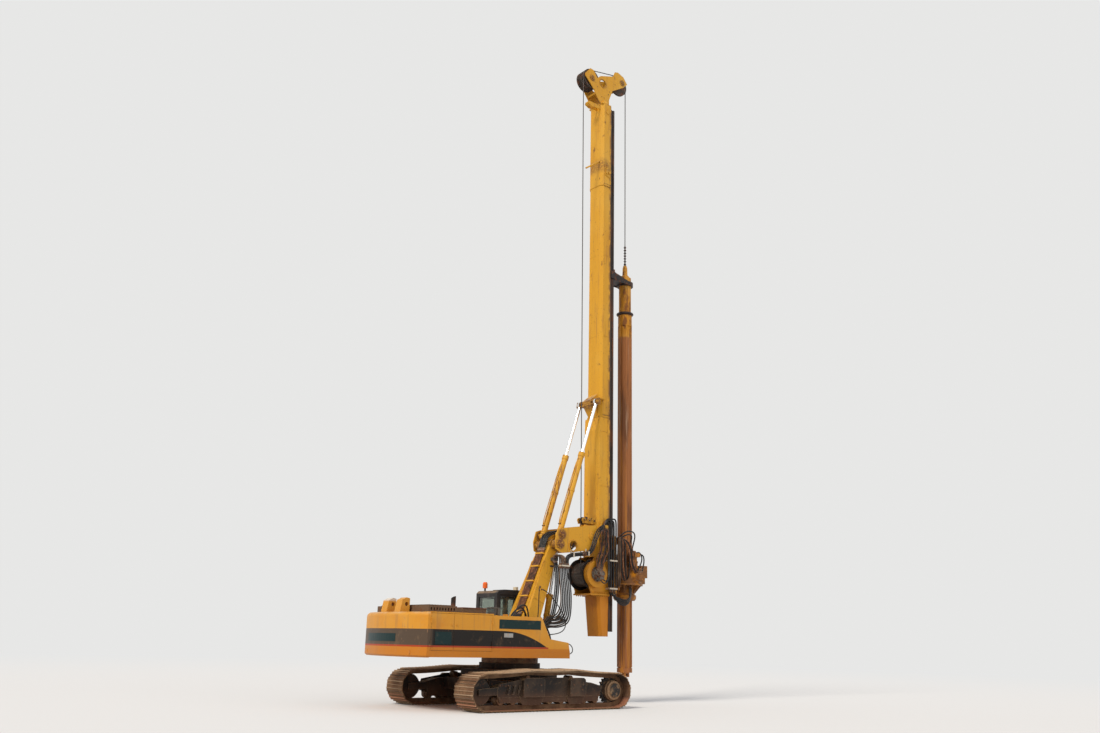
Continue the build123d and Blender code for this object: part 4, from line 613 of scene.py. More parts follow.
def waves(tree, scale, distortion=0.0, direction="X"):
    """Fine bands from 0 to 1 across one direction."""
    bands = tree.nodes.new("ShaderNodeTexWave")
    bands.bands_direction = direction
    bands.inputs["Scale"].default_value = scale
    bands.inputs["Distortion"].default_value = distortion
    tree.links.new(tree.nodes.new("ShaderNodeTexCoord").outputs["Object"], bands.inputs["Vector"])
    return Value(bands.outputs["Fac"])


_, cloth_tree, cloth_shader = finish(
    "seat_cloth", "seat_cloth", (0.05, 0.05, 0.055), 0.9, ["seat"], edge=0.02, grain=(0.004, 0.4))
paint(cloth_shader, over(waves(cloth_tree, 90, 1.5), (0.075, 0.072, 0.07), (0.028, 0.028, 0.032)))
cloth_shader.inputs["Sheen Weight"].default_value = 0.3

_, lens_tree, lens_shader = finish(
    "lamp_lens", "beacon_lens", (0.75, 0.16, 0.02), 0.25, ["beacon"], grain=(0.02, 0.02))
lamp_x, _, lamp_z = coordinates(lens_tree)
is_work_lamp = fade(lamp_x, 0.6, 0.62)
is_stem = 1.0 - fade(lamp_z, 3.095, 3.1)
lens_colour = over(is_work_lamp, (0.62, 0.52, 0.36), (0.78, 0.13, 0.015))
paint(lens_shader, over(is_stem, (0.03, 0.028, 0.027), lens_colour), [
    (dust, 0.06, 0.5, 0.7, 0.4),
])

rubber = painted("black_rubber", "hose_rubber", soot, 0.33, (0.016, 0.015, 0.015), [
    ((0.09, 0.06, 0.04), 0.1, 0.54, 0.7, 0.6),
], edge=0.003, grain=(0.02, 0.12), gloss=0.24)

glass_low, glass_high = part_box("cab_glass")
shell_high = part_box("cab_shell")[1]
wiper = bmesh.new()
pivot = Vector((glass_high.x + 0.012, glass_low.y + 0.2, glass_low.z + 0.05))
tip = pivot + Vector((-0.06, 0.16, 0.62))
add_rod(wiper, pivot - Vector((0.012, 0, 0)), pivot + Vector((0.02, 0, 0)), 0.018, 16)
add_rod(wiper, pivot + Vector((0.012, 0, 0)), tip + Vector((0.012, 0, 0)), 0.006, 10)
add_rod(wiper, tip + Vector((0.004, -0.02, -0.3)), tip + Vector((-0.02, 0.03, 0.22)), 0.005, 8)
piece("cab_wiper", wiper, rubber, "house")

mirror = bmesh.new()
root = Vector((shell_high.x - 0.25, shell_high.y, 2.45))
arm = root + Vector((0.12, 0.16, 0.1))
add_rod(mirror, root - Vector((0, 0.01, 0)), arm, 0.012, 12)
add_block(mirror, arm + Vector((-0.015, -0.07, -0.13)), arm + Vector((0.02, 0.09, 0.17)), 0.012)
piece("cab_mirror", mirror, rubber, "house")

controls = bmesh.new()
seat_low, seat_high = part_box("seat")
front, toe_x, floor_z = seat_high.x + 0.02, seat_high.x + 0.25, seat_low.z
for y in (seat_low.y - 0.13, seat_high.y + 0.13):
    add_block(controls, (front - 0.42, y - 0.08, floor_z + 0.001), (front, y + 0.08, floor_z + 0.58), 0.02)
    add_rod(controls, (front - 0.08, y, floor_z + 0.57), (front - 0.06, y, floor_z + 0.7), 0.012, 12)
    add_rod(controls, (front - 0.06, y, floor_z + 0.69), (front - 0.055, y, floor_z + 0.8), 0.026, 16, 0.02)
for k in (-0.09, 0.09):
    y = (seat_low.y + seat_high.y) / 2 + k
    add_block(controls, (toe_x, y - 0.05, floor_z), (toe_x + 0.22, y + 0.05, floor_z + 0.03), 0.008)
    add_rod(controls, (toe_x + 0.11, y, floor_z + 0.02), (toe_x + 0.07, y, floor_z + 0.5), 0.01, 12)
piece("cab_controls", controls, rubber, "house")

# Boom. A welded box in yellow enamel over rust, with hose lines in clamps up its back that run on
# as loose loops: down to the deck at its foot, and over to the cradle at its head.


def machine_yellow(title, names, stains=(), edge=0.008):
    """Weathered yellow enamel on CAD nodes, returned with its shader and its colour.
    Columns of stains, which are rusty rounds: x, z, inner radius, outer radius, strength."""
    material, tree, shader = finish(title, "yellow_paint", (0.62, 0.3, 0.022), 0.45, names, edge=edge)
    colour = weather(tree, (0.62, 0.3, 0.02), [
        ((0.66, 0.37, 0.055), 1.4, 0.45, 0.68, 0.6, "all", (1, 1, 0.5)),
        ((0.5, 0.2, 0.014), 0.8, 0.52, 0.72, 0.55, "wall", (1, 1, 0.4)),
        ((0.33, 0.15, 0.035), 0.1, 0.55, 0.7, 0.5, "wall", (1, 1, 0.06)),
        ((0.52, 0.35, 0.17), 0.4, 0.35, 0.62, 0.7, "top"),
        (rust, 0.16, 0.62, 0.7, 0.75, "all", (1, 1, 0.5)),
        (dark_rust, 0.045, 0.64, 0.71, 0.85),
        (rust, 0.06, 0.42, 0.6, 0.85, "edge"),
    ])
    for x, z, inner, outer, strength in stains:
        rough = near(tree, x, z, inner, outer) * fade(patches(tree, 0.06), 0.3, 0.55)
        colour = over(rough * strength, (0.13, 0.05, 0.025), colour)
    paint(shader, colour)
    return material, shader, colour


boom_foot, boom_head = Vector((0.24, 0, 1.9)), Vector((1.265, 0, 4.339))
boom_up = (boom_head - boom_foot).normalized()
boom_back = Vector((-boom_up.z, 0, boom_up.x))
boom_yellow, _, _ = machine_yellow(
    "boom_yellow", ["boom"],
    ((boom_foot.x, boom_foot.z, 0.12, 0.24, 0.9), (boom_head.x, boom_head.z, 0.12, 0.22, 0.9)))

hose_skin = painted("brown_hose", "hose_rubber", rust, 0.65, (0.13, 0.05, 0.025), [
    ((0.27, 0.12, 0.055), 0.09, 0.45, 0.6, 0.75),
    ((0.028, 0.018, 0.014), 0.2, 0.48, 0.64, 0.8),
], ["boom_hoses"], edge=0.003, grain=(0.004, 0.5))


def tube_mesh(points, radius):
    """Mesh of a tube of even radius along a smooth curve that starts and ends at the outer points."""
    curve = bpy.data.curves.new("route", "CURVE")
    curve.dimensions = "3D"
    curve.resolution_u = 6
    curve.bevel_depth = radius
    curve.bevel_resolution = 3
    curve.use_fill_caps = True
    spline = curve.splines.new("NURBS")
    spline.points.add(len(points) - 1)
    for control, spot in zip(spline.points, points):
        control.co = (*spot, 1)
    spline.order_u = min(4, len(points))
    spline.use_endpoint_u = True
    holder = bpy.data.objects.new("route", curve)
    scene.collection.objects.link(holder)
    bpy.context.view_layer.update()
    made = bpy.data.meshes.new_from_object(holder.evaluated_get(bpy.context.evaluated_depsgraph_get()))
    bpy.data.objects.remove(holder)
    bpy.data.curves.remove(curve)
    return made


def hoses(name, routes, radius, skin, body, joined=None, span=None, other=None):
    """Hoses along routes of points from the slewing axis, with a crimped steel end at both ends. Hoses
    between two bodies are attached to neither, with their transform baked in; the span is not used. Every
    second hose may have another skin."""
    mesh = bmesh.new()
    routes = [[place(*spot) for spot in route] for route in routes]
    for i, route in enumerate(routes):
        first = len(mesh.faces)
        made = tube_mesh(route, radius)
        mesh.from_mesh(made)
        bpy.data.meshes.remove(made)
        mesh.faces.ensure_lookup_table()
        for face in mesh.faces[first:]:
            face.smooth = True
            face.material_index = 2 if other and i % 2 else 0
    plain = len(mesh.faces)
    for route in routes:
        for end, inner in ((route[0], route[1]), (route[-1], route[-2])):
            away = (inner - end).normalized()
            add_rod(mesh, end - away * 0.004, end + away * 0.07, radius * 1.28, 16)
            add_rod(mesh, end - away * 0.012, end + away * 0.022, radius * 1.5, 6)
    mesh.faces.ensure_lookup_table()
    for face in mesh.faces[plain:]:
        face.material_index = 1
    data = bpy.data.meshes.new(name)
    mesh.to_mesh(data)
    mesh.free()
    for material in (skin, bolt_steel, other or skin):
        data.materials.append(material)
    added = piece(name, data, skin, None if joined else body)
    if joined:
        place(*span[0])
        place(*span[1])
        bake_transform(added)


def on_boom(along, out, y):
    """The x, y, z of a point along metres up the boom from its foot pin, out metres behind its middle."""
    spot = boom_foot + boom_up * along + boom_back * out
    return spot.x, y, spot.z


hose_low, hose_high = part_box("boom_hoses")
line_out = 0.196
hose_rows = [hose_low.y + 0.022 + (hose_high.y - hose_low.y - 0.044) * i / 5 for i in range(6)]
lines_low = (hose_low.z - boom_foot.z) / boom_up.z - 0.02
lines_high = (hose_high.z - boom_foot.z) / boom_up.z - 0.04
foot_routes = []
for i, y in enumerate(hose_rows):
    drop = 0.05 * (i % 3)
    foot_routes.append([
        on_boom(lines_low + 0.09, line_out, y), on_boom(lines_low - 0.02, line_out, y),
        on_boom(lines_low - 0.16, line_out + 0.05, y * 1.1), (-0.2 - drop, y * 1.25, 2.28),
        (-0.42 - drop, y * 1.3, 2.16), (-0.56, y * 1.35, 1.95), (-0.6, y * 1.35, 1.72)])
hoses("boom_foot_loops", foot_routes, 0.021, rubber, "house", "boom", ((-0.5, 0, 1.9), (0.3, 0, 2.3)))

arch_routes = []
for i, y in enumerate((-0.52, -0.47, -0.6)):
    lift = 0.07 * i
    arch_routes.append([
        (-0.5 + 0.04 * i, y, 1.75), (-0.48, y, 2.05 + lift), (-0.3, y, 2.36 + lift), (-0.05, y, 2.5 + lift),
        (0.13, y + 0.02, 2.44 + lift), (0.2, y + 0.06, 2.2), (0.24, y + 0.08, 1.75)])
hoses("deck_arches", arch_routes, 0.02, rubber, "house")

valves = blocks(
    (-0.68, -0.28, 1.41, -0.5, 0.28, 1.72, 0.01), (-0.56, -0.66, 1.41, -0.36, -0.42, 1.75, 0.01),
    (0.12, -0.58, 1.41, 0.32, -0.4, 1.76, 0.01))
for y in (-0.2, 0.2):
    add_bolt(valves, place(-0.68, y, 1.56), (-1, 0, 0), 0.02)
piece("deck_valves", valves, iron, "house")

head_routes = []
for i, y in enumerate(hose_rows):
    rise = 0.06 * (i % 2)
    head_routes.append([
        on_boom(lines_high - 0.06, line_out, y), on_boom(lines_high + 0.06, line_out, y),
        on_boom(lines_high + 0.3 + rise, line_out + 0.06, y), (1.3 + rise, y * 1.3, 4.66 + rise),
        (1.58, y * 1.5, 4.72 + rise), (1.8, y * 1.6, 4.6), (1.86, y * 1.6, 4.55)])
hoses("boom_head_loops", head_routes, 0.021, rubber, "boom", "cradle", ((1.05, 0, 4.3), (1.7, 0, 4.7)))


def weld(name, routes, material, body, radius=0.006):
    """Lumpy weld beads along straight lines between points from the slewing axis."""
    lumps = random.Random(7)
    mesh = bmesh.new()
    for start, end in routes:
        start, end = place(*start), place(*end)
        count = max(2, int((end - start).length / 0.035))
        spots = [start.lerp(end, i / count) for i in range(count + 1)]
        for one, two in zip(spots, spots[1:]):
            add_rod(mesh, one, two, radius * lumps.uniform(0.8, 1.25), 6, radius * lumps.uniform(0.7, 1.0))
    piece(name, mesh, material, body)


seam_routes = []
for side in (-1, 1):
    for along, half in ((0.95, 0.383), (1.62, 0.313)):
        seam_routes.append((on_boom(along, 0.15, side * half), on_boom(along, -0.24, side * half)))
weld("boom_welds", seam_routes, boom_yellow, "boom")

worn_hose = painted("worn_hose", "hose_rubber", soot, 0.5, (0.065, 0.037, 0.021), [
    ((0.17, 0.098, 0.055), 0.16, 0.45, 0.62, 0.7, "all", (1, 1, 0.5)),
    ((0.018, 0.016, 0.015), 0.1, 0.5, 0.66, 0.8, "all", (1, 1, 0.4)),
], edge=0.003, grain=(0.02, 0.2), gloss=0.2)

# Cylinders. Yellow barrels stained where oil and rain ran down them, hard-chromed rods, and a pair
# of thin pipes up the back of each raising barrel.
barrels, barrel_shader, barrel_colour = machine_yellow(
    "barrel_yellow", ["lift_barrels", "raise_barrels", "crowd_barrel"], edge=0.004)
paint(barrel_shader, barrel_colour, [
    ((0.28, 0.12, 0.045), 0.09, 0.5, 0.64, 0.8, "all", (1, 1, 0.08)),
    (dark_rust, 0.07, 0.58, 0.68, 0.8, "all", (1, 1, 0.2)),
])

painted("rod_chrome", "rod_chrome", (0.9, 0.9, 0.9), 0.24, (0.8, 0.8, 0.79), [
    ((0.62, 0.55, 0.47), 0.2, 0.58, 0.78, 0.4, "all", (1, 1, 0.1)),
], ["lift_rods", "raise_rods", "crowd_rod"], metal=1.0, edge=0.002, grain=(0.01, 0.03), gloss=0.5)

raise_foot, raise_eye = Vector((1.335, 0, 4.607)), Vector((2.7, 0, 8.725))
behind_barrel = Vector((-0.098, 0, 0.032))
for side in (-1, 1):
    pipes = []
    y = side * 0.37
    low = raise_foot.lerp(raise_eye, 0.06) + behind_barrel
    high = raise_foot.lerp(raise_eye, 0.545) + behind_barrel
    one, two = low.lerp(high, 0.3), low.lerp(high, 0.7)
    for k in (-0.035, 0.035):
        pipes.append([
            (low.x + 0.06, y + k, low.z), (low.x, y + k, low.z + 0.06), (one.x, y + k, one.z),
            (two.x, y + k, two.z), (high.x, y + k, high.z - 0.05), (high.x + 0.07, y + k, high.z + 0.03)])
    hoses("raise_pipes_" + ("right" if side < 0 else "left"), pipes, 0.012, barrels, "raise_barrels")

# Cradle. Two thick yellow plates on pins with rusty bosses, under them a black bundle of hoses
# that comes off the mast, passes a steel clamp beside the boom and hangs down to the deck.
machine_yellow("cradle_yellow", ["cradle"], (
    (raise_foot.x, raise_foot.z, 0.1, 0.2, 0.95), (boom_head.x, boom_head.z, 0.11, 0.2, 0.95),
    (1.745, 4.322, 0.12, 0.18, 0.6), (2.47, 4.64, 0.05, 0.12, 0.3)))

bundle_y = -0.615
clamp_x, clamp_z = 1.325, 3.725
cradle_face = -(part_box("cradle")[1].y - 0.052)


def fan(i):
    """How far a hose of the hanging bundle stands out sideways and forwards, in metres."""
    return 0.032 - 0.052 * (i % 2) - 0.008 * (i // 2), -0.128 + 0.048 * (i // 2) + 0.014 * (i % 2)


piece("boom_ports", blocks((1.12, -0.4, 3.86, 1.3, -0.27, 3.96, 0.01)), iron, "boom")

mast_side, under_cradle, from_boom, hanging = [], [], [], []
for i in range(4):
    y = bundle_y + 0.022 - 0.045 * (i % 2)
    up = 0.036 - 0.024 * i
    y_off, x_off = fan(i + 8)
    under_cradle.append([
        (clamp_x + x_off, bundle_y + y_off, clamp_z), (clamp_x + x_off, y, 3.86),
        (1.45 - up, y, 4.0 + up * 0.7), (1.64, y, 4.05 + up), (1.8, y, 4.075 + up), (2.0, y, 4.1 + up),
        (2.06, y, 4.107 + up)])
    mast_side.append([
        (2.06, y, 4.107 + up), (2.14, y, 4.118 + up), (2.27, y, 4.14 + up), (2.38 - up, y, 4.26 + up * 0.5),
        (2.5 - up * 1.2, y, 4.56 + up * 0.4), (2.62 - up, y, 4.82 + up), (2.8, y + 0.03, 4.94 + up),
        (2.93, -0.5, 4.98 + up), (3.0, -0.44, 4.97 + up)])
for i in range(12):
    y_off, x_off = fan(i)
    y = bundle_y + y_off
    if i < 8:
        from_boom.append([
            (1.14 + 0.018 * i, -0.385, 3.95), (1.15 + 0.018 * i, -0.39, 4.02),
            (1.2 + 0.016 * i, -0.47, 4.05), (clamp_x + x_off * 0.9, y, 3.96), (clamp_x + x_off, y, 3.84),
            (clamp_x + x_off, y, clamp_z)])
    hang_x = 1.39 + x_off * 1.15
    low_z = 2.3 - 0.022 * (i % 4) - x_off * 0.9
    hanging.append([
        (clamp_x + x_off, y, clamp_z), (clamp_x + x_off * 1.1, y, 3.5), (hang_x, y - 0.01, 3.15),
        (hang_x + 0.03, y - 0.01, 2.8), (hang_x + 0.02, y, 2.48 - x_off), (hang_x - 0.1, y, low_z),
        (1.02, y + 0.01, low_z - 0.08), (0.78, y + 0.02, low_z - 0.04), (0.6, y + 0.03, 2.06 - 0.01 * i),
        (0.47 + 0.01 * i, y + 0.04, 1.72)])
hoses("bundle_mast_side", mast_side, 0.02, rubber, "cradle", "mast", ((2.1, 0, 4.1), (2.9, 0, 4.9)))
hoses("bundle_under_cradle", under_cradle, 0.02, rubber, "boom", "cradle", ((1.36, 0, 3.8), (1.9, 0, 4.1)))
hoses("bundle_from_boom", from_boom, 0.019, worn_hose, "boom")
hoses("bundle_hanging", hanging, 0.019, worn_hose, "house", "boom", ((0.9, 0, 2.1), (1.3, 0, 3.5)), rubber)
drops = []
for i in range(4):
    y = -0.44 - 0.02 * (i % 2)
    drops.append([
        (1.13 + 0.036 * i, -0.38, 3.87), (1.15 + 0.036 * i, y, 3.75), (1.14 + 0.036 * i, y - 0.05, 3.4),
        (1.1 + 0.04 * i, y - 0.08, 3.0), (1.02 + 0.04 * i, y - 0.08, 2.5), (0.88 + 0.03 * i, y - 0.06, 2.1),
        (0.66, y, 1.9 + 0.03 * i), (0.6, y, 1.72)])
hoses("boom_drops", drops, 0.018, rubber, "house", "boom", ((0.8, 0, 1.95), (1.15, 0, 3.5)))

zinc = painted("zinc_strap", "rail_steel", (0.5, 0.48, 0.45), 0.4, (0.55, 0.48, 0.38), [
    (rust, 0.06, 0.55, 0.68, 0.6),
], metal=0.3, edge=0.002, grain=(0.01, 0.1))

clamp = bmesh.new()
clamp_low = place(clamp_x - 0.15, bundle_y - 0.095, clamp_z - 0.02)
clamp_high = place(clamp_x + 0.155, bundle_y + 0.07, clamp_z + 0.02)
for y in (clamp_low.y, clamp_high.y - 0.012):
    add_block(clamp, (clamp_low.x, y, clamp_low.z), (clamp_high.x, y + 0.012, clamp_high.z), 0.003)
for x in (clamp_low.x, clamp_high.x - 0.012):
    add_block(clamp, (x, clamp_low.y, clamp_low.z), (x + 0.012, clamp_high.y, clamp_high.z), 0.003)
piece("bundle_clamp", clamp, zinc, "boom")
arm = bmesh.new()
arm_root = (clamp_low.x + 0.01, clamp_high.y - 0.01, clamp_low.z + 0.012)
add_block(arm, arm_root, (clamp_low.x + 0.03, -0.27, clamp_high.z - 0.012), 0.004)
add_block(arm, (clamp_low.x - 0.08, -0.3, clamp_low.z), (clamp_low.x + 0.03, -0.262, clamp_high.z), 0.004)
piece("clamp_arm", arm, iron, "boom")

for title, x, z in (("cradle_clamp_rear", 1.66, 4.055), ("cradle_clamp_front", 2.22, 4.13)):
    collar = bmesh.new()
    low, high = place(x - 0.022, bundle_y - 0.05, z - 0.065), place(x + 0.022, bundle_y + 0.05, z + 0.065)
    add_block(collar, low, (high.x, high.y, low.z + 0.01), 0.003)
    add_block(collar, (low.x, low.y, high.z - 0.01), (high.x, cradle_face + 0.004, high.z), 0.003)
    add_block(collar, low, (high.x, low.y + 0.01, high.z), 0.003)
    foot = (low.x, cradle_face - 0.012, low.z + 0.06)
    add_block(collar, foot, (high.x, cradle_face + 0.001, high.z + 0.07), 0.003)
    add_block(collar, (low.x, high.y - 0.012, low.z), (high.x, high.y, high.z), 0.003)
    add_bolt(collar, place(x, cradle_face - 0.012, z + 0.1), (0, -1, 0), 0.013)
    piece(title, collar, zinc, "cradle")

hole_hoses = []
for dx, dy in ((0.0, 0.0), (0.035, 0.03)):
    hole_hoses.append([
        (1.862, -0.42 + dy, 4.62), (1.8 + dx, -0.43 + dy, 4.6), (1.71 + dx, -0.44 + dy, 4.5),
        (1.67 + dx, -0.445 + dy, 4.36), (1.69 + dx, -0.445 + dy, 4.25), (1.77 + dx, -0.44 + dy, 4.23),
        (1.83, -0.43 + dy, 4.3), (1.862, -0.42 + dy, 4.38)])
hoses("hole_hoses", hole_hoses, 0.021, worn_hose, "cradle")

piece("front_valves", blocks(
    (0.42, bundle_y - 0.1, 1.41, 0.62, bundle_y + 0.12, 1.74, 0.01),
    (0.2, bundle_y - 0.07, 1.41, 0.34, bundle_y - 0.02, 1.95, 0.008)), iron, "house")

whips = [
    [(0.46, -0.55, 1.72), (0.47, -0.56, 2.1), (0.5, -0.57, 2.45), (0.5, -0.57, 2.8), (0.52, -0.55, 3.05),
        (0.6, -0.47, 3.16), (0.68, -0.4, 3.12)],
    [(0.72, -0.4, 3.06), (0.8, -0.5, 3.04), (0.97, -0.62, 2.83), (1.2, -0.66, 2.54), (1.4, -0.68, 2.24),
        (1.36, -0.68, 1.98), (1.05, -0.66, 1.86), (0.7, -0.64, 1.86), (0.56, -0.62, 1.72)],
]
hoses("boom_whips", whips, 0.013, rubber, "house", "boom", ((0.5, 0, 2.1), (0.62, 0, 3.0)))

hoses("step_drop", [[
    (0.3, -0.62, 1.93), (0.36, -0.64, 2.2), (0.47, -0.72, 2.24), (0.58, -0.8, 2.08), (0.66, -0.84, 1.92),
    (0.7, -0.86, 1.78), (0.71, -0.86, 1.657)]], 0.022, rubber, "house")
step_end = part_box("step_box")[1].x - slew_shift - 0.01
step_line = [
    (0.86, -1.2, 1.62), (0.98, -1.26, 1.66), (1.1, -1.29, 1.58), (1.14, -1.29, 1.46), (1.1, -1.27, 1.36),
    (step_end, -1.24, 1.33)]
hoses("step_line", [step_line], 0.012, rubber, "house")

# Mast. A tall box in yellow enamel, chipped to rust beside its greasy guide rails, with seams,
# bolted joint collars, the hydraulic lines that run down its side, and rope rollers on a stand.
mast_yellow, mast_shader, mast_colour = machine_yellow(
    "mast_yellow", ["mast_lower", "mast_upper", "mast_foot"],
    ((raise_eye.x, raise_eye.z, 0.1, 0.3, 0.75), (3.0, 16.75, 0.1, 0.34, 0.6)), edge=0.012)
mast_tree = tree_of(mast_colour)
mast_x, _, mast_z = coordinates(mast_tree)
beside_rail = fade(mast_x, 3.17, 3.28) * fade(patches(mast_tree, 0.12, (1, 1, 0.4)), 0.38, 0.52)
mast_colour = over(beside_rail * 0.85, (0.15, 0.062, 0.03), mast_colour)
old_foot = 1.0 - fade(mast_z, 2.9, 3.1)
paint(mast_shader, over(old_foot * 0.75, (0.52, 0.16, 0.008), mast_colour))

painted("greasy_rail", "rail_steel", (0.07, 0.05, 0.045), 0.4, (0.06, 0.043, 0.036), [
    (rust, 0.25, 0.5, 0.66, 0.7, "all", (1, 1, 0.3)),
    ((0.02, 0.017, 0.016), 0.4, 0.48, 0.62, 0.7, "all", (1, 1, 0.2)),
], ["mast_rails"], metal=0.5, edge=0.004, grain=(0.02, 0.2))

lower_half, upper_half = 0.345, 0.33
mast_beads = []
for z, half, rear in (
        (4.6, lower_half, 2.8), (6.2, lower_half, 2.8), (7.86, lower_half, 2.8), (10.9, upper_half, 2.9),
        (13.6, upper_half, 2.9)):
    for side in (-1, 1):
        mast_beads.append(((rear + 0.1, side * half, z), (3.18, side * half, z)))
    mast_beads.append(((rear + 0.001, -half + 0.1, z), (rear + 0.001, half - 0.1, z)))
weld("mast_welds", mast_beads, mast_yellow, "mast", 0.007)

joint_bolts = bmesh.new()
for z in (8.33, 16.056):
    for side in (-1, 1):
        for i in range(5):
            x = 3.02 + 0.055 * i if z < 9 else 3.0 + 0.06 * i
            for dz in (-0.045, 0.045):
                add_bolt(joint_bolts, place(x, side * (upper_half + 0.012), z + dz), (0, side, 0), 0.014)
for z in [2.1 + 0.6 * i for i in range(28)]:
    if 3.0 < z < 4.2:
        continue
    for side in (-1, 1):
        add_bolt(joint_bolts, place(3.36, side * 0.312, z), (0, side, 0), 0.011)
piece("mast_bolts", joint_bolts, bolt_steel, "mast")

line_top, line_low = 5.06, 3.17
side_lines, brackets = [], bmesh.new()
for i in range(6):
    y = -0.458 - 0.034 * (i % 2)
    x = 3.172 + 0.05 * i
    arch = line_top + 0.05 * (i % 3)
    side_lines.append([
        (3.02 + 0.02 * i, -0.38, arch - 0.06), (3.06 + 0.02 * i, -0.43, arch + 0.03),
        (x - 0.05, y, arch + 0.09), (x, y, arch), (x, y, arch - 0.22), (x, y, 4.4), (x, y, 3.9),
        (x, y, line_low + 0.2), (x, y, line_low)])
hoses("mast_lines", side_lines, 0.023, rubber, "mast")
for z in (4.0, 3.2):
    add_block(brackets, place(3.14, -0.53, z - 0.022), place(3.455, -0.516, z + 0.022), 0.004)
    add_block(brackets, place(3.14, -0.53, z - 0.022), place(3.154, -0.335, z + 0.022), 0.004)
piece("line_brackets", brackets, zinc, "mast")

port_block = blocks(
    (2.86, -0.45, 4.9, 3.16, -0.344, 5.02, 0.012), (2.8, 0.344, 4.86, 3.12, 0.45, 5.1, 0.012))
for x, z in ((2.9, 5.06), (3.12, 4.84)):
    add_block(port_block, place(x - 0.03, -0.43, z - 0.05), place(x + 0.03, -0.345, z + 0.05), 0.012)
for k in range(4):
    add_bolt(port_block, place(2.9 + 0.07 * k, -0.45, 4.96), (0, -1, 0), 0.016)
piece("mast_ports", port_block, mast_yellow, "mast")

sheaves = painted("dark_sheaves", "sheave_steel", soot, 0.55, (0.06, 0.045, 0.036), [
    (rust, 0.15, 0.48, 0.64, 0.8),
    ((0.3, 0.27, 0.24), 0.1, 0.45, 0.6, 0.6, "edge"),
], ["front_sheave", "rear_sheaves"], metal=0.4, edge=0.003, grain=(0.02, 0.3))

roller_stand, roller_set = bmesh.new(), bmesh.new()
for y in (-0.26, -0.05):
    add_block(roller_stand, place(2.3, y - 0.01, 5.03), place(2.84, y + 0.01, 5.12), 0.01)
    for x in (2.36, 2.56, 2.74):
        add_rod(roller_stand, place(x, y - 0.016, 5.13), place(x, y + 0.016, 5.13), 0.075, 24)
        ring_of_bolts(roller_set, place(x, y - 0.016, 5.13), (0, -1, 0), 0.05, 6, 0.01)
        add_rod(roller_set, place(x, y - 0.04, 5.13), place(x, y - 0.015, 5.13), 0.024, 16)
for x, radius in ((2.46, 0.09), (2.65, 0.06)):
    for y0, y1, grow in ((-0.245, -0.065, 0.0), (-0.235, -0.215, 0.025), (-0.095, -0.075, 0.025)):
        add_rod(roller_set, place(x, y0, 5.12), place(x, y1, 5.12), radius + grow, 28)
piece("rope_roller_stand", roller_stand, mast_yellow, "mast")
piece("rope_rollers", roller_set, sheaves, "mast")

# Winch. A grooved drum of steel rope between round-backed plates in orange-yellow, driven by a
# bolted planetary gearbox and a hydraulic motor in worn grey paint.
drum_axis = (2.71, 3.59)
_, plate_shader, plate_colour = machine_yellow(
    "winch_yellow", ["winch_frame", "rotary_carriage"], [(*drum_axis, 0.2, 0.3, 0.8)])
paint(plate_shader, over(0.45, (0.5, 0.17, 0.012), plate_colour))

painted("motor_grey", "black_paint", (0.1, 0.09, 0.08), 0.5, (0.16, 0.14, 0.12), [
    (rust, 0.12, 0.48, 0.62, 0.8),
    (soot, 0.1, 0.5, 0.64, 0.8),
    (dust, 0.1, 0.5, 0.66, 0.5, "top"),
], ["winch_motor"], metal=0.3, edge=0.004, grain=(0.02, 0.3))

_, drum_tree, drum_shader = finish(
    "drum_and_rope", "rope_wire", soot, 0.5, ["winch_drum"], metal=0.4, edge=0.003, grain=(0.01, 0.3))
inside_rope = near(drum_tree, *drum_axis, 0.348, 0.352)
rope_colour = over(waves(drum_tree, 24, 0.6), (0.15, 0.12, 0.1), (0.045, 0.036, 0.03))
paint(drum_shader, over(inside_rope, rope_colour, (0.022, 0.02, 0.02)), [
    (rust, 0.15, 0.55, 0.68, 0.6),
    ((0.2, 0.18, 0.16), 0.3, 0.5, 0.6, 0.7, "edge"),
])

winch_hoses = []
for i in range(9):
    y = -0.5 - 0.012 * (i % 3)
    x = 2.72 + 0.036 * i
    sway = 0.05 * ((i * 5) % 4 - 1.5)
    winch_hoses.append([
        (2.88 + 0.028 * i, -0.43, 4.92), (2.89 + 0.028 * i, y, 4.86), (x + 0.12 + sway, y, 4.6),
        (x + 0.06 - sway, y, 4.3), (x + sway, y, 4.05), (2.62 + 0.03 * i, y - 0.04, 3.86),
        (2.6 + 0.026 * i, -0.58, 3.74), (2.63 + 0.018 * i, -0.6, 3.66)])
hoses("winch_hoses", winch_hoses, 0.018, hose_skin, "mast", other=rubber)
return_hoses = [
    [(2.74, -0.65, 3.47), (2.8, -0.7, 3.36), (2.95, -0.68, 3.4), (3.04, -0.6, 3.7), (3.06, -0.53, 4.1),
        (3.1, -0.5, 4.5), (3.12, -0.43, 4.84)],
    [(2.66, -0.65, 3.47), (2.66, -0.72, 3.32), (2.86, -0.72, 3.28), (3.06, -0.64, 3.6),
        (3.1, -0.55, 4.1), (3.13, -0.5, 4.5), (3.14, -0.43, 4.84)],
]
hoses("winch_returns", return_hoses, 0.017, rubber, "mast")

# Head. Forked side plates on top of the mast, rusty at their edges, carrying dark grooved sheaves
# for the greased wire ropes that run over them to the drum and to the swivel of the kelly.
rear_axle, front_axle = (2.52, 19.84), (3.877, 20.19)
machine_yellow(
    "head_yellow", ["mast_head"],
    ((*rear_axle, 0.07, 0.16, 0.8), (*front_axle, 0.07, 0.16, 0.8), (2.997, 19.816, 0.12, 0.2, 0.6)),
    edge=0.014)

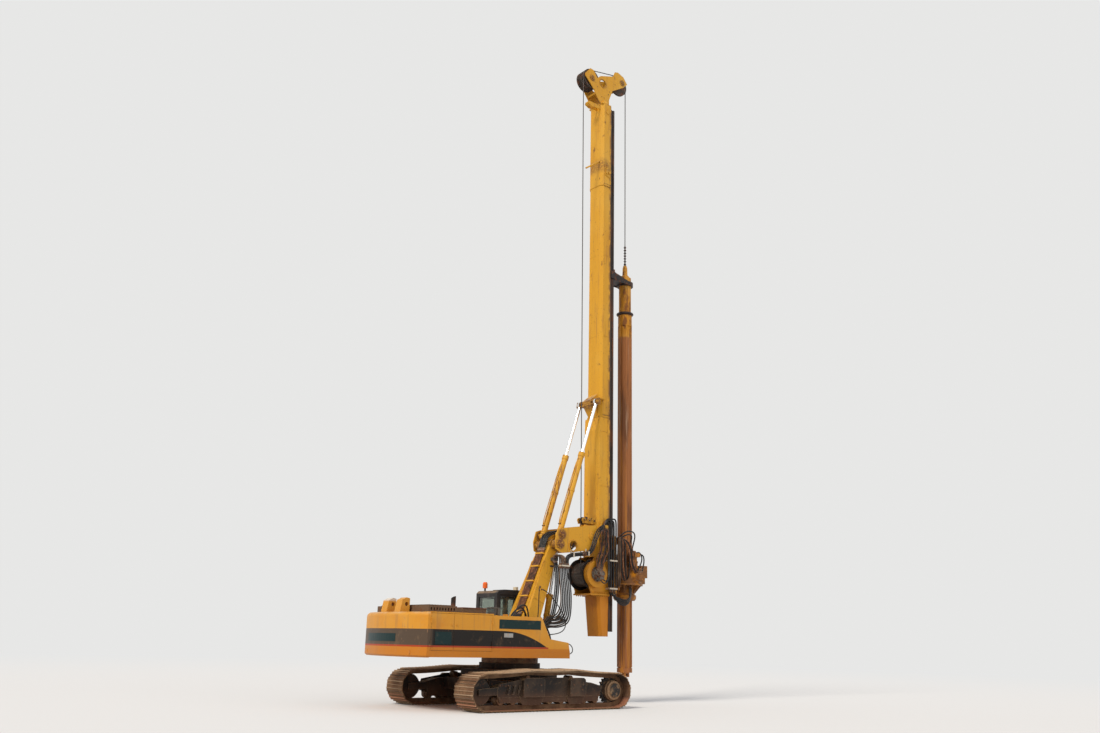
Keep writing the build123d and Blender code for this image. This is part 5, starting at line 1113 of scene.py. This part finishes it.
_, wire_tree, wire_shader = finish(
    "greased_wire", "rope_wire", soot, 0.45, ["winch_rope", "kelly_rope"], metal=0.5, edge=0.001,
    grain=(0.006, 0.6))
paint(
    wire_shader, over(waves(wire_tree, 26, direction="DIAGONAL"), (0.12, 0.1, 0.09), (0.03, 0.026, 0.024)))

head_bolts = bmesh.new()
plate_side = 0.226
for side in (-1, 1):
    for x, z in (rear_axle, front_axle):
        ring_of_bolts(head_bolts, place(x, side * (plate_side + 0.016), z), (0, side, 0), 0.068, 6, 0.01)
    for x, z in (
            (2.6, 19.45), (2.75, 19.6), (3.25, 19.5), (3.3, 19.62), (3.05, 19.3), (2.95, 19.3),
            (3.55, 20.0), (2.3, 20.08)):
        add_bolt(head_bolts, place(x, side * plate_side, z), (0, side, 0), 0.016)
    for i in range(6):
        add_bolt(head_bolts, place(2.95 + 0.055 * i, side * 0.3, 19.04), (0, 0, 1), 0.014)
piece("head_bolts", head_bolts, bolt_steel, "mast")

# Rotary head. A ribbed gearbox in orange-brown enamel with two motors standing on it, its orange
# valve boxes, and a tangle of rusty brown hoses looping between the motors and the boxes.
gear_yellow, gear_shader, gear_colour = machine_yellow("gearbox_orange", ["rotary_body", "rotary_motors"])
gear_mud = fade(patches(tree_of(gear_colour), 0.3), 0.36, 0.52) * 0.8
paint(gear_shader, over(gear_mud, (0.13, 0.058, 0.03), over(0.55, (0.5, 0.15, 0.012), gear_colour)))

kelly_x, flange_radius, gear_bottom, gear_top = 4.233, 0.525, 3.35, 3.85
motor_x, motor_y = 4.143, 0.48
gear_bolts = bmesh.new()
for i in range(24):
    turn = 2 * math.pi * (i + 0.5) / 24
    x, y = kelly_x + flange_radius * math.cos(turn), flange_radius * math.sin(turn)
    spot = place(x, y, gear_top)
    if min((spot - place(motor_x, side * motor_y, gear_top)).length for side in (-1, 1)) > 0.17:
        add_bolt(gear_bolts, spot, (0, 0, 1), 0.014)
    add_bolt(gear_bolts, place(x, y, gear_bottom), (0, 0, -1), 0.014)
for side in (-1, 1):
    for height, radius in ((gear_top + 0.036, 0.129), (gear_top + 0.186, 0.123), (gear_top + 0.33, 0.106)):
        ring_of_bolts(gear_bolts, place(motor_x, side * motor_y, height), (0, 0, 1), radius, 10, 0.008, 0.3)
piece("gear_bolts", gear_bolts, bolt_steel, "rotary")


def rotary_hoses(name, side, count, skin, way, other=None):
    """Hoses on the rotary head along a way of x, y and z; each stands a little off the one before it."""
    routes = []
    for i in range(count):
        apart = 0.03 * (i % 3) - 0.03
        sway = 0.03 * ((i * 5) % 4 - 1.5)
        route = []
        for k, (x, y, z, step, lean) in enumerate(way):
            shift = (step + sway * step * 8) * i if 0 < k < len(way) - 1 else step * i
            route.append((x + shift, side * (y + apart * lean), z + step * i * 0.4))
        routes.append(route)
    hoses(name, routes, 0.02, skin, "rotary", other=other)


port_z = gear_top + 0.505
for side, suffix in ((-1, "right"), (1, "left")):
    motor_loops = []
    low_y, low_z = (0.58, 3.69) if side < 0 else (0.5, gear_top - 0.005)
    for k in (-1, 1):
        x, y = motor_x + 0.04 * k, side * motor_y + 0.1
        aside = 0.05 * k
        motor_loops.append([
            (x, y, port_z), (x + 0.01, y, port_z + 0.12), (x + 0.09 + aside, y - side * 0.02, 4.66 + aside),
            (4.14 + aside, side * 0.5, 4.86 + aside), (3.92, side * 0.5, 4.88 + aside),
            (3.72, side * 0.48, 4.8 + aside), (3.66, side * (0.38 - aside), 4.7),
            (3.6, side * (0.36 - aside), 4.62)])
        motor_loops.append([
            (x - 0.02, side * 0.54, 4.2), (x + 0.1, side * 0.6, 4.3 - aside), (x + 0.24, side * 0.62, 4.26),
            (x + 0.3, side * 0.6, 4.05), (x + 0.2 + aside, side * low_y, low_z + 0.14),
            (x + 0.14 + aside, side * low_y, low_z)])
    hoses("motor_loops_" + suffix, motor_loops, 0.02, rubber, "rotary")

# columns of a way: x, y, z, step from hose to hose, share by which the rows stand apart
rotary_hoses("feed_hoses", -1, 8, hose_skin, (
    (3.585, 0.36, 4.58, 0.0, 0.9), (3.64, 0.44, 4.7, 0.008, 1), (3.62, 0.49, 4.55, 0.034, 1),
    (3.58, 0.5, 4.2, 0.04, 1), (3.57, 0.51, 3.9, 0.042, 1), (3.62, 0.53, 3.6, 0.03, 1),
    (3.74, 0.48, 3.44, 0.02, 1), (3.93, 0.34, 3.5, 0.004, 1)), rubber)
rotary_hoses("drop_hoses", -1, 5, worn_hose, (
    (3.585, 0.4, 4.66, 0.0, 0.9), (3.57, 0.48, 4.78, 0.004, 1), (3.52, 0.49, 4.5, 0.03, 0.6),
    (3.5, 0.49, 4.0, 0.032, 0.6), (3.51, 0.49, 3.5, 0.03, 0.6), (3.54, 0.47, 3.26, 0.02, 0.6),
    (3.59, 0.38, 3.24, 0.0, 0.9)))
rotary_hoses("box_hoses", -1, 4, hose_skin, (
    (3.6, 0.3, 4.6, 0.0, 0.5), (3.7, 0.4, 4.74, 0.01, 1), (3.86, 0.56, 4.6, 0.03, 1),
    (3.92, 0.62, 4.2, 0.03, 1), (3.9, 0.64, 3.9, 0.03, 1), (3.98, 0.66, 3.76, 0.03, 0.4),
    (4.14, 0.58, 3.69, 0.03, 0.4)), rubber)
rotary_hoses("far_hoses", 1, 6, hose_skin, (
    (3.585, 0.36, 4.58, 0.0, 0.9), (3.64, 0.44, 4.7, 0.01, 1), (3.72, 0.5, 4.5, 0.03, 1),
    (3.74, 0.52, 4.1, 0.03, 1), (3.76, 0.52, 3.8, 0.03, 1), (3.86, 0.46, 3.6, 0.02, 1),
    (3.95, 0.4, 3.56, 0.0, 1)), rubber)

low_loops = []
for i in range(4):
    y = -0.458 - 0.034 * (i % 2)
    x = 3.222 + 0.05 * i
    dip = 0.05 * i
    low_loops.append([
        (x, y, line_low), (x, y, line_low - 0.07), (x + 0.02, y - 0.02, 3.02 - dip * 0.5),
        (3.42, -0.58, 2.94 - dip), (3.63, -0.6, 2.88 - dip), (3.84, -0.58, 2.9 - dip * 0.8),
        (4.0, -0.5, 3.04 - dip * 0.4), (4.05 + 0.03 * i, -0.4, 3.2), (4.08 + 0.03 * i, -0.36, 3.34)])
hoses("low_loops", low_loops, 0.022, rubber, "mast", "rotary", ((3.42, 0, 0), (3.75, 0, 0)))

piece("carriage_ports", blocks(
    (3.558, -0.46, 4.5, 3.61, -0.24, 4.7, 0.008), (3.558, 0.26, 4.5, 3.61, 0.44, 4.7, 0.008),
    (3.558, -0.46, 3.18, 3.61, -0.3, 3.3, 0.008)), gear_yellow, "rotary")

# Kelly. A telescopic bar of rust-brown steel with drive ribs worn bright and streaks of old paint,
# a yellow sleeve above, a black guide ring on the mast and a dark swivel link on the rope.
_, kelly_tree, kelly_shader = finish(
    "rusty_kelly", "kelly_steel", rust, 0.55, ["kelly_bar", "kelly_stub"], metal=0.25, edge=0.006,
    grain=(0.03, 0.3))
_, _, kelly_z = coordinates(kelly_tree)
bar = weather(kelly_tree, (0.33, 0.125, 0.042), [
    ((0.12, 0.047, 0.022), 0.3, 0.5, 0.66, 0.75, "all", (1, 1, 0.12)),
    ((0.52, 0.2, 0.03), 0.16, 0.5, 0.6, 0.8, "all", (1, 1, 0.03)),
    ((0.4, 0.26, 0.17), 0.09, 0.56, 0.68, 0.6, "all", (1, 1, 0.05)),
    ((0.36, 0.22, 0.12), 0.1, 0.4, 0.6, 0.6, "edge", (1, 1, 0.3)),
])
sleeve = weather(kelly_tree, (0.5, 0.21, 0.02), [
    (rust, 0.12, 0.5, 0.62, 0.85, "all", (1, 1, 0.3)),
    ((0.74, 0.46, 0.12), 0.5, 0.45, 0.65, 0.5, "all", (1, 1, 0.5)),
])
kelly_colour = over(fade(kelly_z, 11.1, 11.18), sleeve, bar)
at_collar = fade(kelly_z, 11.885, 11.895) * (1.0 - fade(kelly_z, 11.995, 12.005))
paint(kelly_shader, over(at_collar, (0.05, 0.032, 0.026), kelly_colour))

painted("guide_black", "black_paint", soot, 0.5, (0.03, 0.026, 0.025), [
    (rust, 0.12, 0.5, 0.64, 0.8),
    (dust, 0.15, 0.4, 0.6, 0.5, "top"),
], ["kelly_guide"], metal=0.2, grain=(0.02, 0.3))

_, swivel_tree, swivel_shader = finish(
    "swivel_steel", "kelly_steel", soot, 0.5, ["swivel"], metal=0.3, edge=0.003, grain=(0.02, 0.3))
link = fade(coordinates(swivel_tree)[2], 13.6, 13.66)
paint(swivel_shader, over(link, (0.045, 0.034, 0.028), (0.6, 0.28, 0.04)), [
    (rust, 0.07, 0.5, 0.64, 0.8, "all", (1, 1, 0.5)),
])

guide_bolts = bmesh.new()
for y in (-0.28, -0.2, 0.2, 0.28):
    for z in (12.9, 13.04, 13.18):
        add_bolt(guide_bolts, place(3.486, y, z), (1, 0, 0), 0.014)
piece("guide_bolts", guide_bolts, bolt_steel, "mast")
